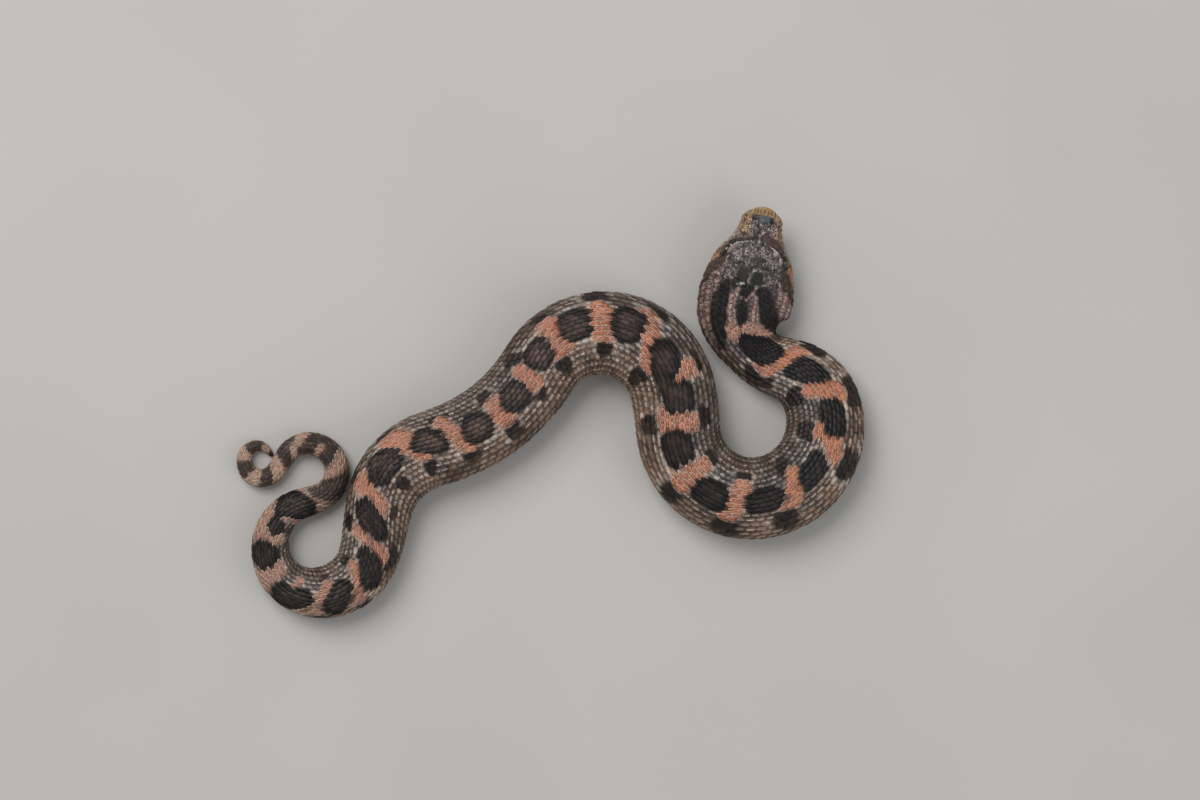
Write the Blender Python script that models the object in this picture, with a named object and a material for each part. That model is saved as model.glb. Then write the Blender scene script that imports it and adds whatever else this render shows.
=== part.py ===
"""A young southern hognose snake lying in loose bends on the ground, life size.

Blender 4.5, metres, +Z up, the belly on z = 0 and the head pointing along +Y. The snake is
one long loft: a middle line made of bends, and a cross-section that changes from head to
tail. It is parted by thin cuts into the lengths that a person would name.
"""
import math

import bmesh
import bpy
import numpy as np

MM = 0.001                    # the sizes below are in millimetres

# --- Driving dimensions -------------------------------------------------------------------

CUT = 0.3                     # the thin gap between two neighbouring pieces
SNOUT_TIP = (43.1, 41.0)      # where the middle line starts, seen from above
FIRST_HEADING = -102.5        # degrees from +X: the way from the snout to the neck
BENDS = (                     # (length, turn in degrees) from head to tail, left is positive
    (21.0, 1), (15.0, 91), (12.5, -67), (49.0, -190.5), (7.5, 10), (34.5, 137), (27.5, -44),
    (16.5, 64), (8.5, 1), (18.5, -97), (25.0, -158), (25.0, 253), (12.5, -203),
    (6.0, -139),
)
EASE = 5.0                    # one bend turns into the next over this length
SPINE_STEP = 0.25

# Distance from the snout tip, then width and height of the body behind the head.
GIRTH = (
    (16, 19.1, 7.6), (18, 19.4, 7.4), (20, 19.3, 7.2), (22, 18.7, 7.0), (24, 16.9, 6.8),
    (27, 13.7, 6.6), (30, 11.6, 6.8), (36, 12.4, 8.0), (44, 14.8, 9.8), (60, 16.2, 11.0),
    (85, 16.7, 11.6), (110, 17.3, 11.9), (140, 16.1, 11.5), (170, 15.4, 10.9), (190, 12.8, 9.6),
    (205, 10.8, 8.6), (216, 8.4, 7.0), (228, 6.9, 5.8), (240, 5.4, 4.7), (250, 4.8, 4.2),
    (258, 4.2, 3.8), (266, 3.7, 3.3), (271, 3.1, 2.8), (275, 2.4, 2.2), (279, 0.8, 0.9),
)
BELLY_LIFT = ((10, 2.4), (20, 2.2), (27, 1.1), (34, 0.0), (279, 0.0))   # neck held up

# Lines that run along the head: distance from the snout tip, then how far from the middle,
# then height above the ground.
CROWN = ((0.3, 0, 9.5), (1.6, 0, 9.3), (3.6, 0, 8.9), (6.5, 0, 9.5), (10, 0, 10.5),
         (14, 0, 10.7), (18, 0, 10.0), (23, 0, 8.6))
BROW = ((0.3, 1.0, 9.45), (1.6, 1.8, 9.2), (3.6, 2.3, 8.8), (6.5, 3.5, 9.4), (8.5, 4.9, 10.0),
        (10, 5.3, 10.15), (12, 5.3, 10.0), (15, 5.6, 9.6), (18, 6.2, 8.9), (23, 6.0, 7.8))
CHEEK = ((0.3, 1.8, 9.3), (1.6, 3.3, 8.4), (3.6, 3.8, 7.7), (6.5, 4.7, 7.5), (8.5, 5.6, 7.7),
         (10, 6.4, 7.6), (12, 7.2, 7.4), (15, 8.6, 7.0), (18, 9.0, 6.7), (23, 8.2, 6.0))
LIP = ((0.3, 2.0, 9.0), (1.0, 3.1, 7.5), (2.2, 4.0, 5.6), (3.6, 4.3, 5.3), (5, 4.65, 5.3),
       (6.5, 5.35, 5.3), (8, 6.35, 5.2), (10, 7.8, 5.1), (12, 8.45, 4.9), (15, 9.2, 4.7),
       (18, 9.7, 4.6), (23, 8.7, 4.0))
JAW = ((1.9, 3.0, 5.0), (3.6, 3.8, 4.2), (6.5, 4.8, 3.7), (10, 7.0, 3.3), (14, 8.1, 3.0),
       (18, 8.6, 2.8), (23, 7.6, 2.2))
CHIN = ((1.9, 0, 4.7), (3.6, 0, 3.4), (6.5, 0, 2.8), (10, 0, 2.5), (14, 0, 2.4),
        (18, 0, 2.3), (23, 0, 1.8))

MOUTH_CORNER = 14.6           # the mouth line ends here
JAW_FRONT = 2.3
HEAD_END = 23.0               # the body's own cross-section has taken over here
SNOUT_RINGS = (0.3, 0.6, 1.0, 1.5, 2.2, 3.0)      # close together on the curve of the snout
HEAD_RING_STEP = 0.9
TRUNK_RING_STEP = 2.6
THIN_RING_STEP = 1.6          # in the neck and tail, where the bends are tight
CORNER_STEP = 0.05            # the jump from palate to throat at the mouth corner
SHIELD_TOP = (3.0, 0, 8.95)   # the snout shield's back edge, on the crown and in the lip:
SHIELD_FOOT = (1.6, 0, 5.55)  # along, out, up

EYE_RADIUS = 1.5
EYE_AT = (10.0, 5.4, 7.9)     # along, out, up
SOCKET_RADIUS = EYE_RADIUS + CUT

HALF_STEPS = 12               # a cross-section has this many steps over the top
SIDE_LEVEL = 0.40             # the widest level, as a share of the body's height
BACK_POWER, BELLY_POWER = 2.3, 2.6    # 2 would be an ellipse
BELLY_PRESS = 1.12            # how far a free belly would sag past the ground

LENGTHS = (                   # (name, where it ends)
    ("neck", 38), ("trunk_1", 57), ("trunk_2", 76), ("trunk_3", 96), ("trunk_4", 117),
    ("trunk_5", 139), ("trunk_6", 163), ("trunk_7", 188), ("trunk_8", 213),
    ("tail_1", 235), ("tail_2", 258), ("tail_3", 279),
)

# (colour, roughness)
FINISHES = {
    "head_skin": ((0.105, 0.088, 0.080), 0.55),
    "shield_horn": ((0.075, 0.082, 0.095), 0.40),
    "lip_skin": ((0.290, 0.210, 0.145), 0.55),
    "eye_glass": ((0.012, 0.009, 0.007), 0.08),
    "body_skin": ((0.120, 0.088, 0.068), 0.60),
    "tail_skin": ((0.090, 0.064, 0.048), 0.60),
}


# --- Curves -------------------------------------------------------------------------------

def smooth_through(stations, at, column=1):
    """Values at distances `at` on a curve through the stations that never overshoots."""
    table = np.array(stations, float)
    x, y = table[:, 0], table[:, column]
    slope = np.diff(y) / np.diff(x)
    tangent = np.concatenate([[slope[0]], (slope[1:] + slope[:-1]) / 2, [slope[-1]]])
    tangent[1:-1][slope[1:] * slope[:-1] <= 0] = 0
    limit = 3 * np.minimum(np.abs(np.append(slope, slope[-1])),
                           np.abs(np.insert(slope, 0, slope[0])))
    tangent = np.clip(tangent, -limit, limit)
    at = np.clip(np.asarray(at, float), x[0], x[-1])
    i = np.clip(np.searchsorted(x, at, side="right") - 1, 0, len(x) - 2)
    width = x[i + 1] - x[i]
    t = (at - x[i]) / width
    return ((1 + 2 * t) * (1 - t) ** 2 * y[i] + t * (1 - t) ** 2 * width * tangent[i]
            + t * t * (3 - 2 * t) * y[i + 1] + t * t * (t - 1) * width * tangent[i + 1])


def spine():
    """Distance, x, y and heading in radians along the middle line, snout tip first."""
    lengths, turns = np.array(BENDS, float).T
    corner = np.concatenate([[0], np.cumsum(lengths)])
    heading = FIRST_HEADING + np.concatenate([[0], np.cumsum(turns)])
    s = np.arange(0, corner[-1] + SPINE_STEP / 2, SPINE_STEP)
    around = np.linspace(-EASE / 2, EASE / 2, 9)
    angle = np.radians(np.mean([np.interp(s + d, corner, heading) for d in around], axis=0))
    x, y = (np.concatenate([[0], np.cumsum((f[1:] + f[:-1]) / 2 * SPINE_STEP)])
            for f in (np.cos(angle), np.sin(angle)))
    return s, x + SNOUT_TIP[0], y + SNOUT_TIP[1], angle


SPINE = spine()


def place(along, out, up):
    """A point of the snake in metres: along the middle line, out to its right, and up."""
    x, y, angle = (np.interp(along, SPINE[0], row) for row in SPINE[1:])
    return ((x - math.sin(angle) * out) * MM, (y + math.cos(angle) * out) * MM, up * MM)


# --- Cross-sections -----------------------------------------------------------------------

def body_half(s):
    """The right half of the body's cross-section at s, from the back down to the belly."""
    half_width = smooth_through(GIRTH, s, 1) / 2
    height = smooth_through(GIRTH, s, 2)
    lift = smooth_through(BELLY_LIFT, s)
    level = SIDE_LEVEL * height
    t = np.linspace(0, math.pi / 2, HALF_STEPS // 2 + 1)
    soft_sin, soft_cos = (np.clip(f(t), 0, 1) ** (2 / BACK_POWER) for f in (np.sin, np.cos))
    upper = np.stack([half_width * soft_sin, level + (height - level) * soft_cos], 1)
    soft_sin, soft_cos = (np.clip(f(t), 0, 1) ** (2 / BELLY_POWER) for f in (np.sin, np.cos))
    lower = np.stack([half_width * soft_cos, level * (1 - BELLY_PRESS * soft_sin)], 1)
    half = np.concatenate([upper, lower[1:]])
    half[:, 1] = lift + np.maximum(half[:, 1], 0)
    half[-1, 0] = 0
    return half


def rounded(points, steps):
    """A smooth line through a few points, with `steps` equal steps."""
    points = np.array(points, float)
    length = np.concatenate([[0], np.cumsum(np.hypot(*np.diff(points, axis=0).T))])
    at = np.linspace(0, length[-1], steps + 1)
    return np.stack([smooth_through(np.stack([length, points[:, k]], 1), at) for k in (0, 1)], 1)


def line_at(line, s):
    """(out, up) of one of the head's lines."""
    return smooth_through(line, s, 1), smooth_through(line, s, 2)


def head_half(s):
    """The right half of the head's cross-section: crown to lip, then lip to chin."""
    upper = rounded([line_at(line, s) for line in (CROWN, BROW, CHEEK, LIP)], HALF_STEPS // 2)
    lower = rounded([line_at(line, s) for line in (LIP, JAW, CHIN)], HALF_STEPS // 2)
    return np.concatenate([upper, lower[1:]])


def half_section(s):
    """The head's section gives way to the body's between the mouth corner and the neck."""
    if s >= HEAD_END:
        return body_half(s)
    if s <= MOUTH_CORNER:
        return head_half(s)
    share = (s - MOUTH_CORNER) / (HEAD_END - MOUTH_CORNER)
    share = share * share * (3 - 2 * share)
    return head_half(s) * (1 - share) + body_half(s) * share


def whole_ring(half, floor=None):
    """A closed ring from a right half. With `floor`, the part below the lip is a flat face
    at that height, as the palate is."""
    half = half.copy()
    if floor is not None:
        lip = HALF_STEPS // 2
        half[lip, 1] = floor
        half[lip:, 1] = floor
        half[lip:, 0] = half[lip, 0] * np.linspace(1, 0, HALF_STEPS - lip + 1)
    left = half[-2:0:-1] * (-1, 1)
    return np.concatenate([half, left])


def jaw_ring(half, roof):
    """The ring of the lower jaw: flat on top at `roof`, the chin below."""
    half = half.copy()
    lip = HALF_STEPS // 2
    half[:lip + 1, 1] = roof
    half[:lip + 1, 0] = half[lip, 0] * np.linspace(0, 1, lip + 1)
    return whole_ring(half)


# --- Meshes -------------------------------------------------------------------------------

def finish(node, name):
    """A plain material for one node, in the colour and roughness of a finish."""
    material = bpy.data.materials.new(node + "_" + name)
    colour, roughness = FINISHES[name]
    material.use_nodes = True
    shader = material.node_tree.nodes["Principled BSDF"]
    shader.inputs["Base Color"].default_value = (*colour, 1)
    shader.inputs["Roughness"].default_value = roughness
    shader.inputs["Metallic"].default_value = 0
    return material


def add_object(name, bm, finish_name, collection):
    """An object named `name` from a bmesh, with its faces pointing out."""
    bmesh.ops.recalc_face_normals(bm, faces=bm.faces)
    bmesh.ops.triangulate(bm, faces=bm.faces)
    mesh = bpy.data.meshes.new(name)
    bm.to_mesh(mesh)
    bm.free()
    mesh.shade_smooth()
    mesh.set_sharp_from_angle(angle=math.radians(40))
    mesh.materials.append(finish(name, finish_name))
    obj = bpy.data.objects.new(name, mesh)
    collection.objects.link(obj)
    return obj


def loft(stations, ring_at):
    """A closed mesh through the rings at the stations, with a flat cap at each end."""
    bm = bmesh.new()
    rings = [[bm.verts.new(place(s, x, z)) for x, z in ring_at(s)] for s in stations]
    for a, b in zip(rings, rings[1:]):
        for k in range(len(a)):
            nxt = (k + 1) % len(a)
            bm.faces.new((a[k], a[nxt], b[nxt], b[k]))
    bm.faces.new(rings[0])
    bm.faces.new(rings[-1])
    return bm


def steps_between(start, end, step):
    """Evenly spaced stations from start to end, about `step` apart."""
    return np.linspace(start, end, max(2, math.ceil((end - start) / step) + 1))


def keep_side(bm, point, normal):
    """Cuts the mesh with a plane, drops what lies ahead of it and closes the cut."""
    cut = bmesh.ops.bisect_plane(bm, geom=bm.verts[:] + bm.edges[:] + bm.faces[:],
                                 dist=1e-7, plane_co=point, plane_no=normal, clear_outer=True)
    edges = [e for e in cut["geom_cut"] if isinstance(e, bmesh.types.BMEdge)]
    bmesh.ops.edgenet_fill(bm, edges=edges)
    return bm


def shield_plane():
    """A point of the slanting plane behind the snout shield, and its forward normal."""
    top, foot = np.array(place(*SHIELD_TOP)), np.array(place(*SHIELD_FOOT))
    angle = SPINE[3][0]
    across = np.array([-math.sin(angle), math.cos(angle), 0])
    forward = np.cross(top - foot, across)
    return top, forward / np.linalg.norm(forward)


# --- The pieces ---------------------------------------------------------------------------

def upper_head_ring(s):
    """Crown to palate as far as the mouth corner, and the whole section behind it."""
    half = half_section(s)
    return whole_ring(half, half[HALF_STEPS // 2, 1] if s <= MOUTH_CORNER else None)


def lower_jaw_ring(s):
    """The section below the mouth line."""
    half = half_section(s)
    return jaw_ring(half, half[HALF_STEPS // 2, 1] - CUT)


def head_stations():
    """Stations close together at the snout, and a step at the mouth corner."""
    face = steps_between(SNOUT_RINGS[-1], MOUTH_CORNER, HEAD_RING_STEP)[1:]
    back = steps_between(MOUTH_CORNER + CORNER_STEP, HEAD_END - CUT / 2, HEAD_RING_STEP)
    return [*SNOUT_RINGS, *face, *back]


def make_head(collection):
    """The head, and the snout shield cut from its front."""
    point, forward = shield_plane()
    shield = keep_side(loft(head_stations(), upper_head_ring), point, -forward)
    add_object("snout_shield", shield, "shield_horn", collection)
    behind = point - forward * CUT * MM
    skull = keep_side(loft(head_stations(), upper_head_ring), behind, forward)
    return add_object("head", skull, "head_skin", collection)


def make_eye(name, side, collection):
    """One eyeball, a primitive sphere at its socket."""
    bpy.ops.mesh.primitive_uv_sphere_add(segments=18, ring_count=12, radius=EYE_RADIUS * MM,
                                         location=place(EYE_AT[0], side * EYE_AT[1], EYE_AT[2]))
    eye = bpy.context.object
    eye.name = name
    eye.data.materials.append(finish(name, "eye_glass"))
    eye.data.shade_smooth()
    for home in eye.users_collection:
        home.objects.unlink(eye)
    collection.objects.link(eye)
    return eye


def cut_socket(head, name, side, cutters):
    """Hollows the head round one eyeball."""
    bpy.ops.mesh.primitive_uv_sphere_add(segments=18, ring_count=12, radius=SOCKET_RADIUS * MM,
                                         location=place(EYE_AT[0], side * EYE_AT[1], EYE_AT[2]))
    cutter = bpy.context.object
    cutter.name = name
    cutter.hide_render = True
    cutter.display_type = "WIRE"
    for home in cutter.users_collection:
        home.objects.unlink(cutter)
    cutters.objects.link(cutter)
    hollow = head.modifiers.new(name, "BOOLEAN")
    hollow.object = cutter
    hollow.operation = "DIFFERENCE"


def make_jaw(collection):
    """The lower jaw, a thin gap below the mouth line."""
    stations = steps_between(JAW_FRONT, MOUTH_CORNER - CUT, HEAD_RING_STEP)
    add_object("lower_jaw", loft(stations, lower_jaw_ring), "lip_skin", collection)


def make_lengths(collection):
    """Neck, trunk and tail, each length a loft between two cuts."""
    start = HEAD_END
    for name, end in LENGTHS:
        last = name == LENGTHS[-1][0]
        step = TRUNK_RING_STEP if name.startswith("trunk") else THIN_RING_STEP
        stations = steps_between(start + CUT / 2, end if last else end - CUT / 2, step)
        skin = "tail_skin" if name.startswith("tail") else "body_skin"
        add_object(name, loft(stations, lambda s: whole_ring(half_section(s))), skin, collection)
        start = end


def main():
    for obj in list(bpy.data.objects):
        bpy.data.objects.remove(obj)
    snake = bpy.data.collections.new("hognose_snake")
    cutters = bpy.data.collections.new("cutters")
    for collection in (snake, cutters):
        bpy.context.scene.collection.children.link(collection)
    head = make_head(snake)
    for side_name, side in (("left", -1), ("right", 1)):
        make_eye("eye_" + side_name, side, snake)
        cut_socket(head, "socket_" + side_name, side, cutters)
    make_jaw(snake)
    make_lengths(snake)


main()
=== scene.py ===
# %% [markdown]
# # A young southern hognose snake, lying in loose bends
#
# The packed solids give the snake's real size and pose. This lesson dresses them: one
# skin over everything, more than four thousand overlapping scales, the plates of the
# head, the upturned snout shield, two eyes and the broad shields of the belly.
# The frame is loaded first, because every place and size comes from it.

# %% Loading the packed frame

import math

import bpy
import numpy as np
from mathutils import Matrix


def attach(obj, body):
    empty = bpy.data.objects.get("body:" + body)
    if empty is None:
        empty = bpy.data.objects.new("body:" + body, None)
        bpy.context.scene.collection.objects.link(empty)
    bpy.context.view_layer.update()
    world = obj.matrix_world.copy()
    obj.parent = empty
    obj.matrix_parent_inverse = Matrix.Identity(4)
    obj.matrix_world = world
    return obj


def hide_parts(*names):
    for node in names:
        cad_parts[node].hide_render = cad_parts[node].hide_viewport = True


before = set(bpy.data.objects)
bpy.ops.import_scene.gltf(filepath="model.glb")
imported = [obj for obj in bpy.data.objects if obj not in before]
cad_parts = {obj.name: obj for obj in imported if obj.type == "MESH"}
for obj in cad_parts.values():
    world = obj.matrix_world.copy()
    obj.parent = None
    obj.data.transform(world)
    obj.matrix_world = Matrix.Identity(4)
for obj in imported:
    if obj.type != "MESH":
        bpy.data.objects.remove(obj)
MM = 0.001
print("loaded", len(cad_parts), "solids")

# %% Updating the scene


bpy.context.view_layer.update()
bpy.ops.object.select_all(action="DESELECT")

# %% [markdown]
# ## The middle line
#
# A snake's skin is easiest to think of as a long sleeve: one number says how far along
# the snake a point lies, another how far round. So the script first repeats the solids'
# own middle line, as bends of a given length and turn. Nothing is fitted afterwards,
# because a point of the sleeve then lands on the solids by itself.

# %% Bends from snout to tail

SNOUT_TIP = (43.1, 41.0)
FIRST_HEADING = -102.5
BENDS = (
    (21.0, 1), (15.0, 91), (12.5, -67), (49.0, -190.5), (7.5, 10), (34.5, 137),
    (27.5, -44), (16.5, 64), (8.5, 1), (18.5, -97), (25.0, -158), (25.0, 253),
    (12.5, -203), (6.0, -139),
)
EASE = 5.0                    # over how many millimetres one bend gives way to the next
TAIL_END = 279.0


def middle_line(step=0.25):
    """Distance, x, y and heading in radians along the middle line, snout first."""
    lengths, turns = np.array(BENDS, float).T
    corner = np.concatenate([[0], np.cumsum(lengths)])
    heading = FIRST_HEADING + np.concatenate([[0], np.cumsum(turns)])
    along = np.arange(0, corner[-1] + step / 2, step)
    around = np.linspace(-EASE / 2, EASE / 2, 9)
    eased = [np.interp(along + shift, corner, heading) for shift in around]
    angle = np.radians(np.mean(eased, axis=0))
    x = np.concatenate([[0], np.cumsum(np.cos(angle[1:]) + np.cos(angle[:-1])) / 2 * step])
    y = np.concatenate([[0], np.cumsum(np.sin(angle[1:]) + np.sin(angle[:-1])) / 2 * step])
    return along, x + SNOUT_TIP[0], y + SNOUT_TIP[1], angle


LINE = middle_line()
print("middle line of", LINE[0][-1], "mm with", len(BENDS), "bends")

# %% Girth along the body

GIRTH = (
    (16, 19.1, 7.6), (18, 19.4, 7.4), (20, 19.3, 7.2), (22, 18.7, 7.0), (24, 16.9, 6.8),
    (27, 13.7, 6.6), (30, 11.6, 6.8), (36, 12.4, 8.0), (44, 14.8, 9.8), (60, 16.2, 11.0),
    (85, 16.7, 11.6), (110, 17.3, 11.9), (140, 16.1, 11.5), (170, 15.4, 10.9),
    (190, 12.8, 9.6), (205, 10.8, 8.6), (216, 8.4, 7.0), (228, 6.9, 5.8), (240, 5.4, 4.7),
    (250, 4.8, 4.2), (258, 4.2, 3.8), (266, 3.7, 3.3), (271, 3.1, 2.8), (275, 2.4, 2.2),
    (279, 0.8, 0.9),
)
BELLY_LIFT = ((10, 2.4), (20, 2.2), (27, 1.1), (34, 0.0), (279, 0.0))
SIDE_LEVEL = 0.40
BACK_POWER, BELLY_POWER = 2.3, 2.6
BELLY_PRESS = 1.12


def smooth_through(stations, at, column=1):
    """Values at distances `at` on a curve through the stations that never overshoots."""
    table = np.array(stations, float)
    x, y = table[:, 0], table[:, column]
    slope = np.diff(y) / np.diff(x)
    tangent = np.concatenate([[slope[0]], (slope[1:] + slope[:-1]) / 2, [slope[-1]]])
    tangent[1:-1][slope[1:] * slope[:-1] <= 0] = 0
    limit = 3 * np.minimum(np.abs(np.append(slope, slope[-1])),
                           np.abs(np.insert(slope, 0, slope[0])))
    tangent = np.clip(tangent, -limit, limit)
    at = np.clip(np.asarray(at, float), x[0], x[-1])
    i = np.clip(np.searchsorted(x, at, side="right") - 1, 0, len(x) - 2)
    width = x[i + 1] - x[i]
    t = (at - x[i]) / width
    return ((1 + 2 * t) * (1 - t) ** 2 * y[i] + t * (1 - t) ** 2 * width * tangent[i]
            + t * t * (3 - 2 * t) * y[i + 1] + t * t * (t - 1) * width * tangent[i + 1])


print("widest", max(row[1] for row in GIRTH), "mm, tallest", max(row[2] for row in GIRTH))

# %% Lines along the head: distance, how far out, how high

CROWN = ((0.3, 0, 9.5), (1.6, 0, 9.3), (3.6, 0, 8.9), (6.5, 0, 9.5), (10, 0, 10.5),
         (14, 0, 10.7), (18, 0, 10.0), (23, 0, 8.6))
BROW = ((0.3, 1.0, 9.45), (1.6, 1.8, 9.2), (3.6, 2.3, 8.8), (6.5, 3.5, 9.4),
        (8.5, 4.9, 10.0), (10, 5.3, 10.15), (12, 5.3, 10.0), (15, 5.6, 9.6),
        (18, 6.2, 8.9), (23, 6.0, 7.8))
CHEEK = ((0.3, 1.8, 9.3), (1.6, 3.3, 8.4), (3.6, 3.8, 7.7), (6.5, 4.7, 7.5),
         (8.5, 5.6, 7.7), (10, 6.4, 7.6), (12, 7.2, 7.4), (15, 8.6, 7.0), (18, 9.0, 6.7),
         (23, 8.2, 6.0))
LIP = ((0.3, 2.0, 9.0), (1.0, 3.1, 7.5), (2.2, 4.0, 5.6), (3.6, 4.3, 5.3), (5, 4.65, 5.3),
       (6.5, 5.35, 5.3), (8, 6.35, 5.2), (10, 7.8, 5.1), (12, 8.45, 4.9), (15, 9.2, 4.7),
       (18, 9.7, 4.6), (23, 8.7, 4.0))
JAW = ((1.9, 3.0, 5.0), (3.6, 3.8, 4.2), (6.5, 4.8, 3.7), (10, 7.0, 3.3), (14, 8.1, 3.0),
       (18, 8.6, 2.8), (23, 7.6, 2.2))
CHIN = ((1.9, 0, 4.7), (3.6, 0, 3.4), (6.5, 0, 2.8), (10, 0, 2.5), (14, 0, 2.4),
        (18, 0, 2.3), (23, 0, 1.8))
MOUTH_CORNER = 14.6
HEAD_END = 23.0
EYE_RADIUS = 1.5
EYE_AT = (10.0, 5.4, 7.9)
print("head of", HEAD_END, "mm, mouth corner at", MOUTH_CORNER)

# %% [markdown]
# ## The sleeve
#
# The cross-sections are worked out once, at many stations, and kept in a table by how
# far round they go. Any point of the skin can then be asked for by two numbers: `s`,
# millimetres from the snout, and `turn`, from 0 on the back to 1 under the belly,
# positive on the snake's right. Asking for neighbouring points gives the direction
# that faces outwards there.

# %% Cross-sections

FINE = 32                     # steps over each quarter of a section


def body_half(s):
    """The right half of the body's cross-section at s, from the back to the belly."""
    half_width = smooth_through(GIRTH, s, 1) / 2
    height = smooth_through(GIRTH, s, 2)
    level = SIDE_LEVEL * height
    t = np.linspace(0, math.pi / 2, FINE + 1)
    soft_sin, soft_cos = (np.clip(f(t), 0, 1) ** (2 / BACK_POWER) for f in (np.sin, np.cos))
    upper = np.stack([half_width * soft_sin, level + (height - level) * soft_cos], 1)
    soft_sin, soft_cos = (np.clip(f(t), 0, 1) ** (2 / BELLY_POWER) for f in (np.sin, np.cos))
    lower = np.stack([half_width * soft_cos, level * (1 - BELLY_PRESS * soft_sin)], 1)
    half = np.concatenate([upper, lower[1:]])
    half[:, 1] = smooth_through(BELLY_LIFT, s) + np.maximum(half[:, 1], 0)
    half[-1, 0] = 0
    return half


def rounded(points):
    """A smooth line through a few points, with FINE equal steps."""
    points = np.array(points, float)
    length = np.concatenate([[0], np.cumsum(np.hypot(*np.diff(points, axis=0).T))])
    at = np.linspace(0, length[-1], FINE + 1)
    columns = [smooth_through(np.stack([length, points[:, k]], 1), at) for k in (0, 1)]
    return np.stack(columns, 1)


def line_at(line, s):
    """How far out and how high one of the head's lines is at s."""
    return smooth_through(line, s, 1), smooth_through(line, s, 2)


def smooth_step(value, start, end):
    """0 before start, 1 after end, smooth between them."""
    t = np.clip((value - start) / (end - start), 0, 1)
    return t * t * (3 - 2 * t)


def head_half(s):
    """The right half of the head's cross-section: crown to lip, then lip to chin."""
    upper = rounded([line_at(line, s) for line in (CROWN, BROW, CHEEK, LIP)])
    lower = rounded([line_at(line, s) for line in (LIP, JAW, CHIN)])
    under_snout = np.stack([lower[0, 0] * np.linspace(1, 0, FINE + 1) ** 0.8,
                            np.full(FINE + 1, lower[0, 1] + 0.15)], 1)
    share = smooth_step(s, 1.9, 2.7)
    lower = under_snout * (1 - share) + lower * share
    return np.concatenate([upper, lower[1:]])


def half_section(s):
    """The head's section gives way to the body's between the mouth corner and the neck."""
    if s >= HEAD_END:
        return body_half(s)
    if s <= MOUTH_CORNER:
        return head_half(s)
    share = smooth_step(s, MOUTH_CORNER, HEAD_END)
    return head_half(s) * (1 - share) + body_half(s) * share


print("one half section has", len(half_section(50.0)), "points")

# %% The table of sections

STATIONS = np.concatenate([np.arange(0.3, 4, 0.1), np.arange(4, 24, 0.2),
                           np.arange(24, TAIL_END, 0.5), [TAIL_END]])
ROUND = np.linspace(0, 1, 129)


def section_table():
    """For each station: how far out and up at each share of the half girth, the half
    girth itself, the share at which the section is widest, and the width there."""
    out, up, girth, widest = [], [], [], []
    for s in STATIONS:
        half = half_section(s)
        length = np.concatenate([[0], np.cumsum(np.hypot(*np.diff(half, axis=0).T))])
        share = length / length[-1]
        out.append(np.interp(ROUND, share, half[:, 0]))
        up.append(np.interp(ROUND, share, half[:, 1]))
        girth.append(length[-1])
        widest.append(share[np.argmax(half[:, 0])])
    return np.array(out), np.array(up), np.array(girth), np.array(widest)


OUT, UP, HALF_GIRTH, WIDEST = section_table()
print("sections:", len(STATIONS), "half girth at 100 mm:",
      round(float(np.interp(100, STATIONS, HALF_GIRTH)), 2))

# %% Asking the sleeve for a point


def from_table(table, s, share):
    """Values of a table between its stations and its shares of the half girth."""
    row = np.interp(s, STATIONS, np.arange(len(STATIONS)))
    column = np.clip(share, 0, 1) * (len(ROUND) - 1)
    i = np.clip(row.astype(int), 0, len(STATIONS) - 2)
    j = np.clip(column.astype(int), 0, len(ROUND) - 2)
    p, q = row - i, column - j
    return ((table[i, j] * (1 - q) + table[i, j + 1] * q) * (1 - p)
            + (table[i + 1, j] * (1 - q) + table[i + 1, j + 1] * q) * p)


def fold(turn):
    """Share of the half girth and side of a turn, which may pass the belly line."""
    turn = np.where(turn > 1, turn - 2, turn)
    turn = np.where(turn < -1, turn + 2, turn)
    return np.abs(turn), np.where(turn < 0, -1.0, 1.0)


def place_mm(s, out, up):
    """Millimetres from distance along, out to the right and up."""
    x, y, angle = (np.interp(s, LINE[0], row) for row in LINE[1:])
    return np.stack([x - np.sin(angle) * out, y + np.cos(angle) * out, up], -1)


def bare_point(s, turn):
    """A point of the sleeve, in millimetres."""
    share, side = fold(turn)
    return place_mm(s, from_table(OUT, s, share) * side, from_table(UP, s, share))


def facing(s, turn):
    """The direction that faces outwards at a point of the sleeve."""
    low, high = STATIONS[0], STATIONS[-1]
    ahead = bare_point(np.clip(s + 0.15, low, high), turn)
    behind = bare_point(np.clip(s - 0.15, low, high), turn)
    normal = np.cross(ahead - behind,
                      bare_point(s, turn + 0.012) - bare_point(s, turn - 0.012))
    length = np.linalg.norm(normal, axis=-1, keepdims=True)
    return normal / np.maximum(length, 1e-9)


def on_sleeve(s, turn, lift):
    """A point `lift` millimetres above the sleeve, or below it where lift is negative."""
    s, turn, lift = np.broadcast_arrays(np.asarray(s, float), turn, lift)
    return bare_point(s, turn) + facing(s, turn) * lift[..., None]


def girth_at(s):
    """Half the girth at s, in millimetres."""
    return np.interp(s, STATIONS, HALF_GIRTH)


def seen_out(s, turn):
    """How far out to the right a point is as seen from above; under the widest level it
    goes on growing along the flank, so that no two points share a value."""
    share, side = fold(turn)
    widest = np.interp(s, STATIONS, WIDEST)
    upper = from_table(OUT, s, np.minimum(share, widest))
    return side * (upper + np.maximum(share - widest, 0) * girth_at(s))


def half_breadth(s):
    """Half the snake's breadth at s, as seen from above."""
    return np.interp(s, STATIONS, OUT.max(1))


back_middle = on_sleeve(np.array([100.0]), np.array([0.0]), np.array([0.0]))[0]
print("middle of the back at 100 mm:", np.round(back_middle, 2))

# %% [markdown]
# ## Camera, light and floor
#
# The snake is looked at from straight above, at a distance where a 100 mm lens takes in
# 240 mm of ground. A wide soft lamp stands in for an overcast sky, and a weaker one
# across from it keeps the far side of each scale readable. The floor is plain and pale.

# %% Camera

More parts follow.
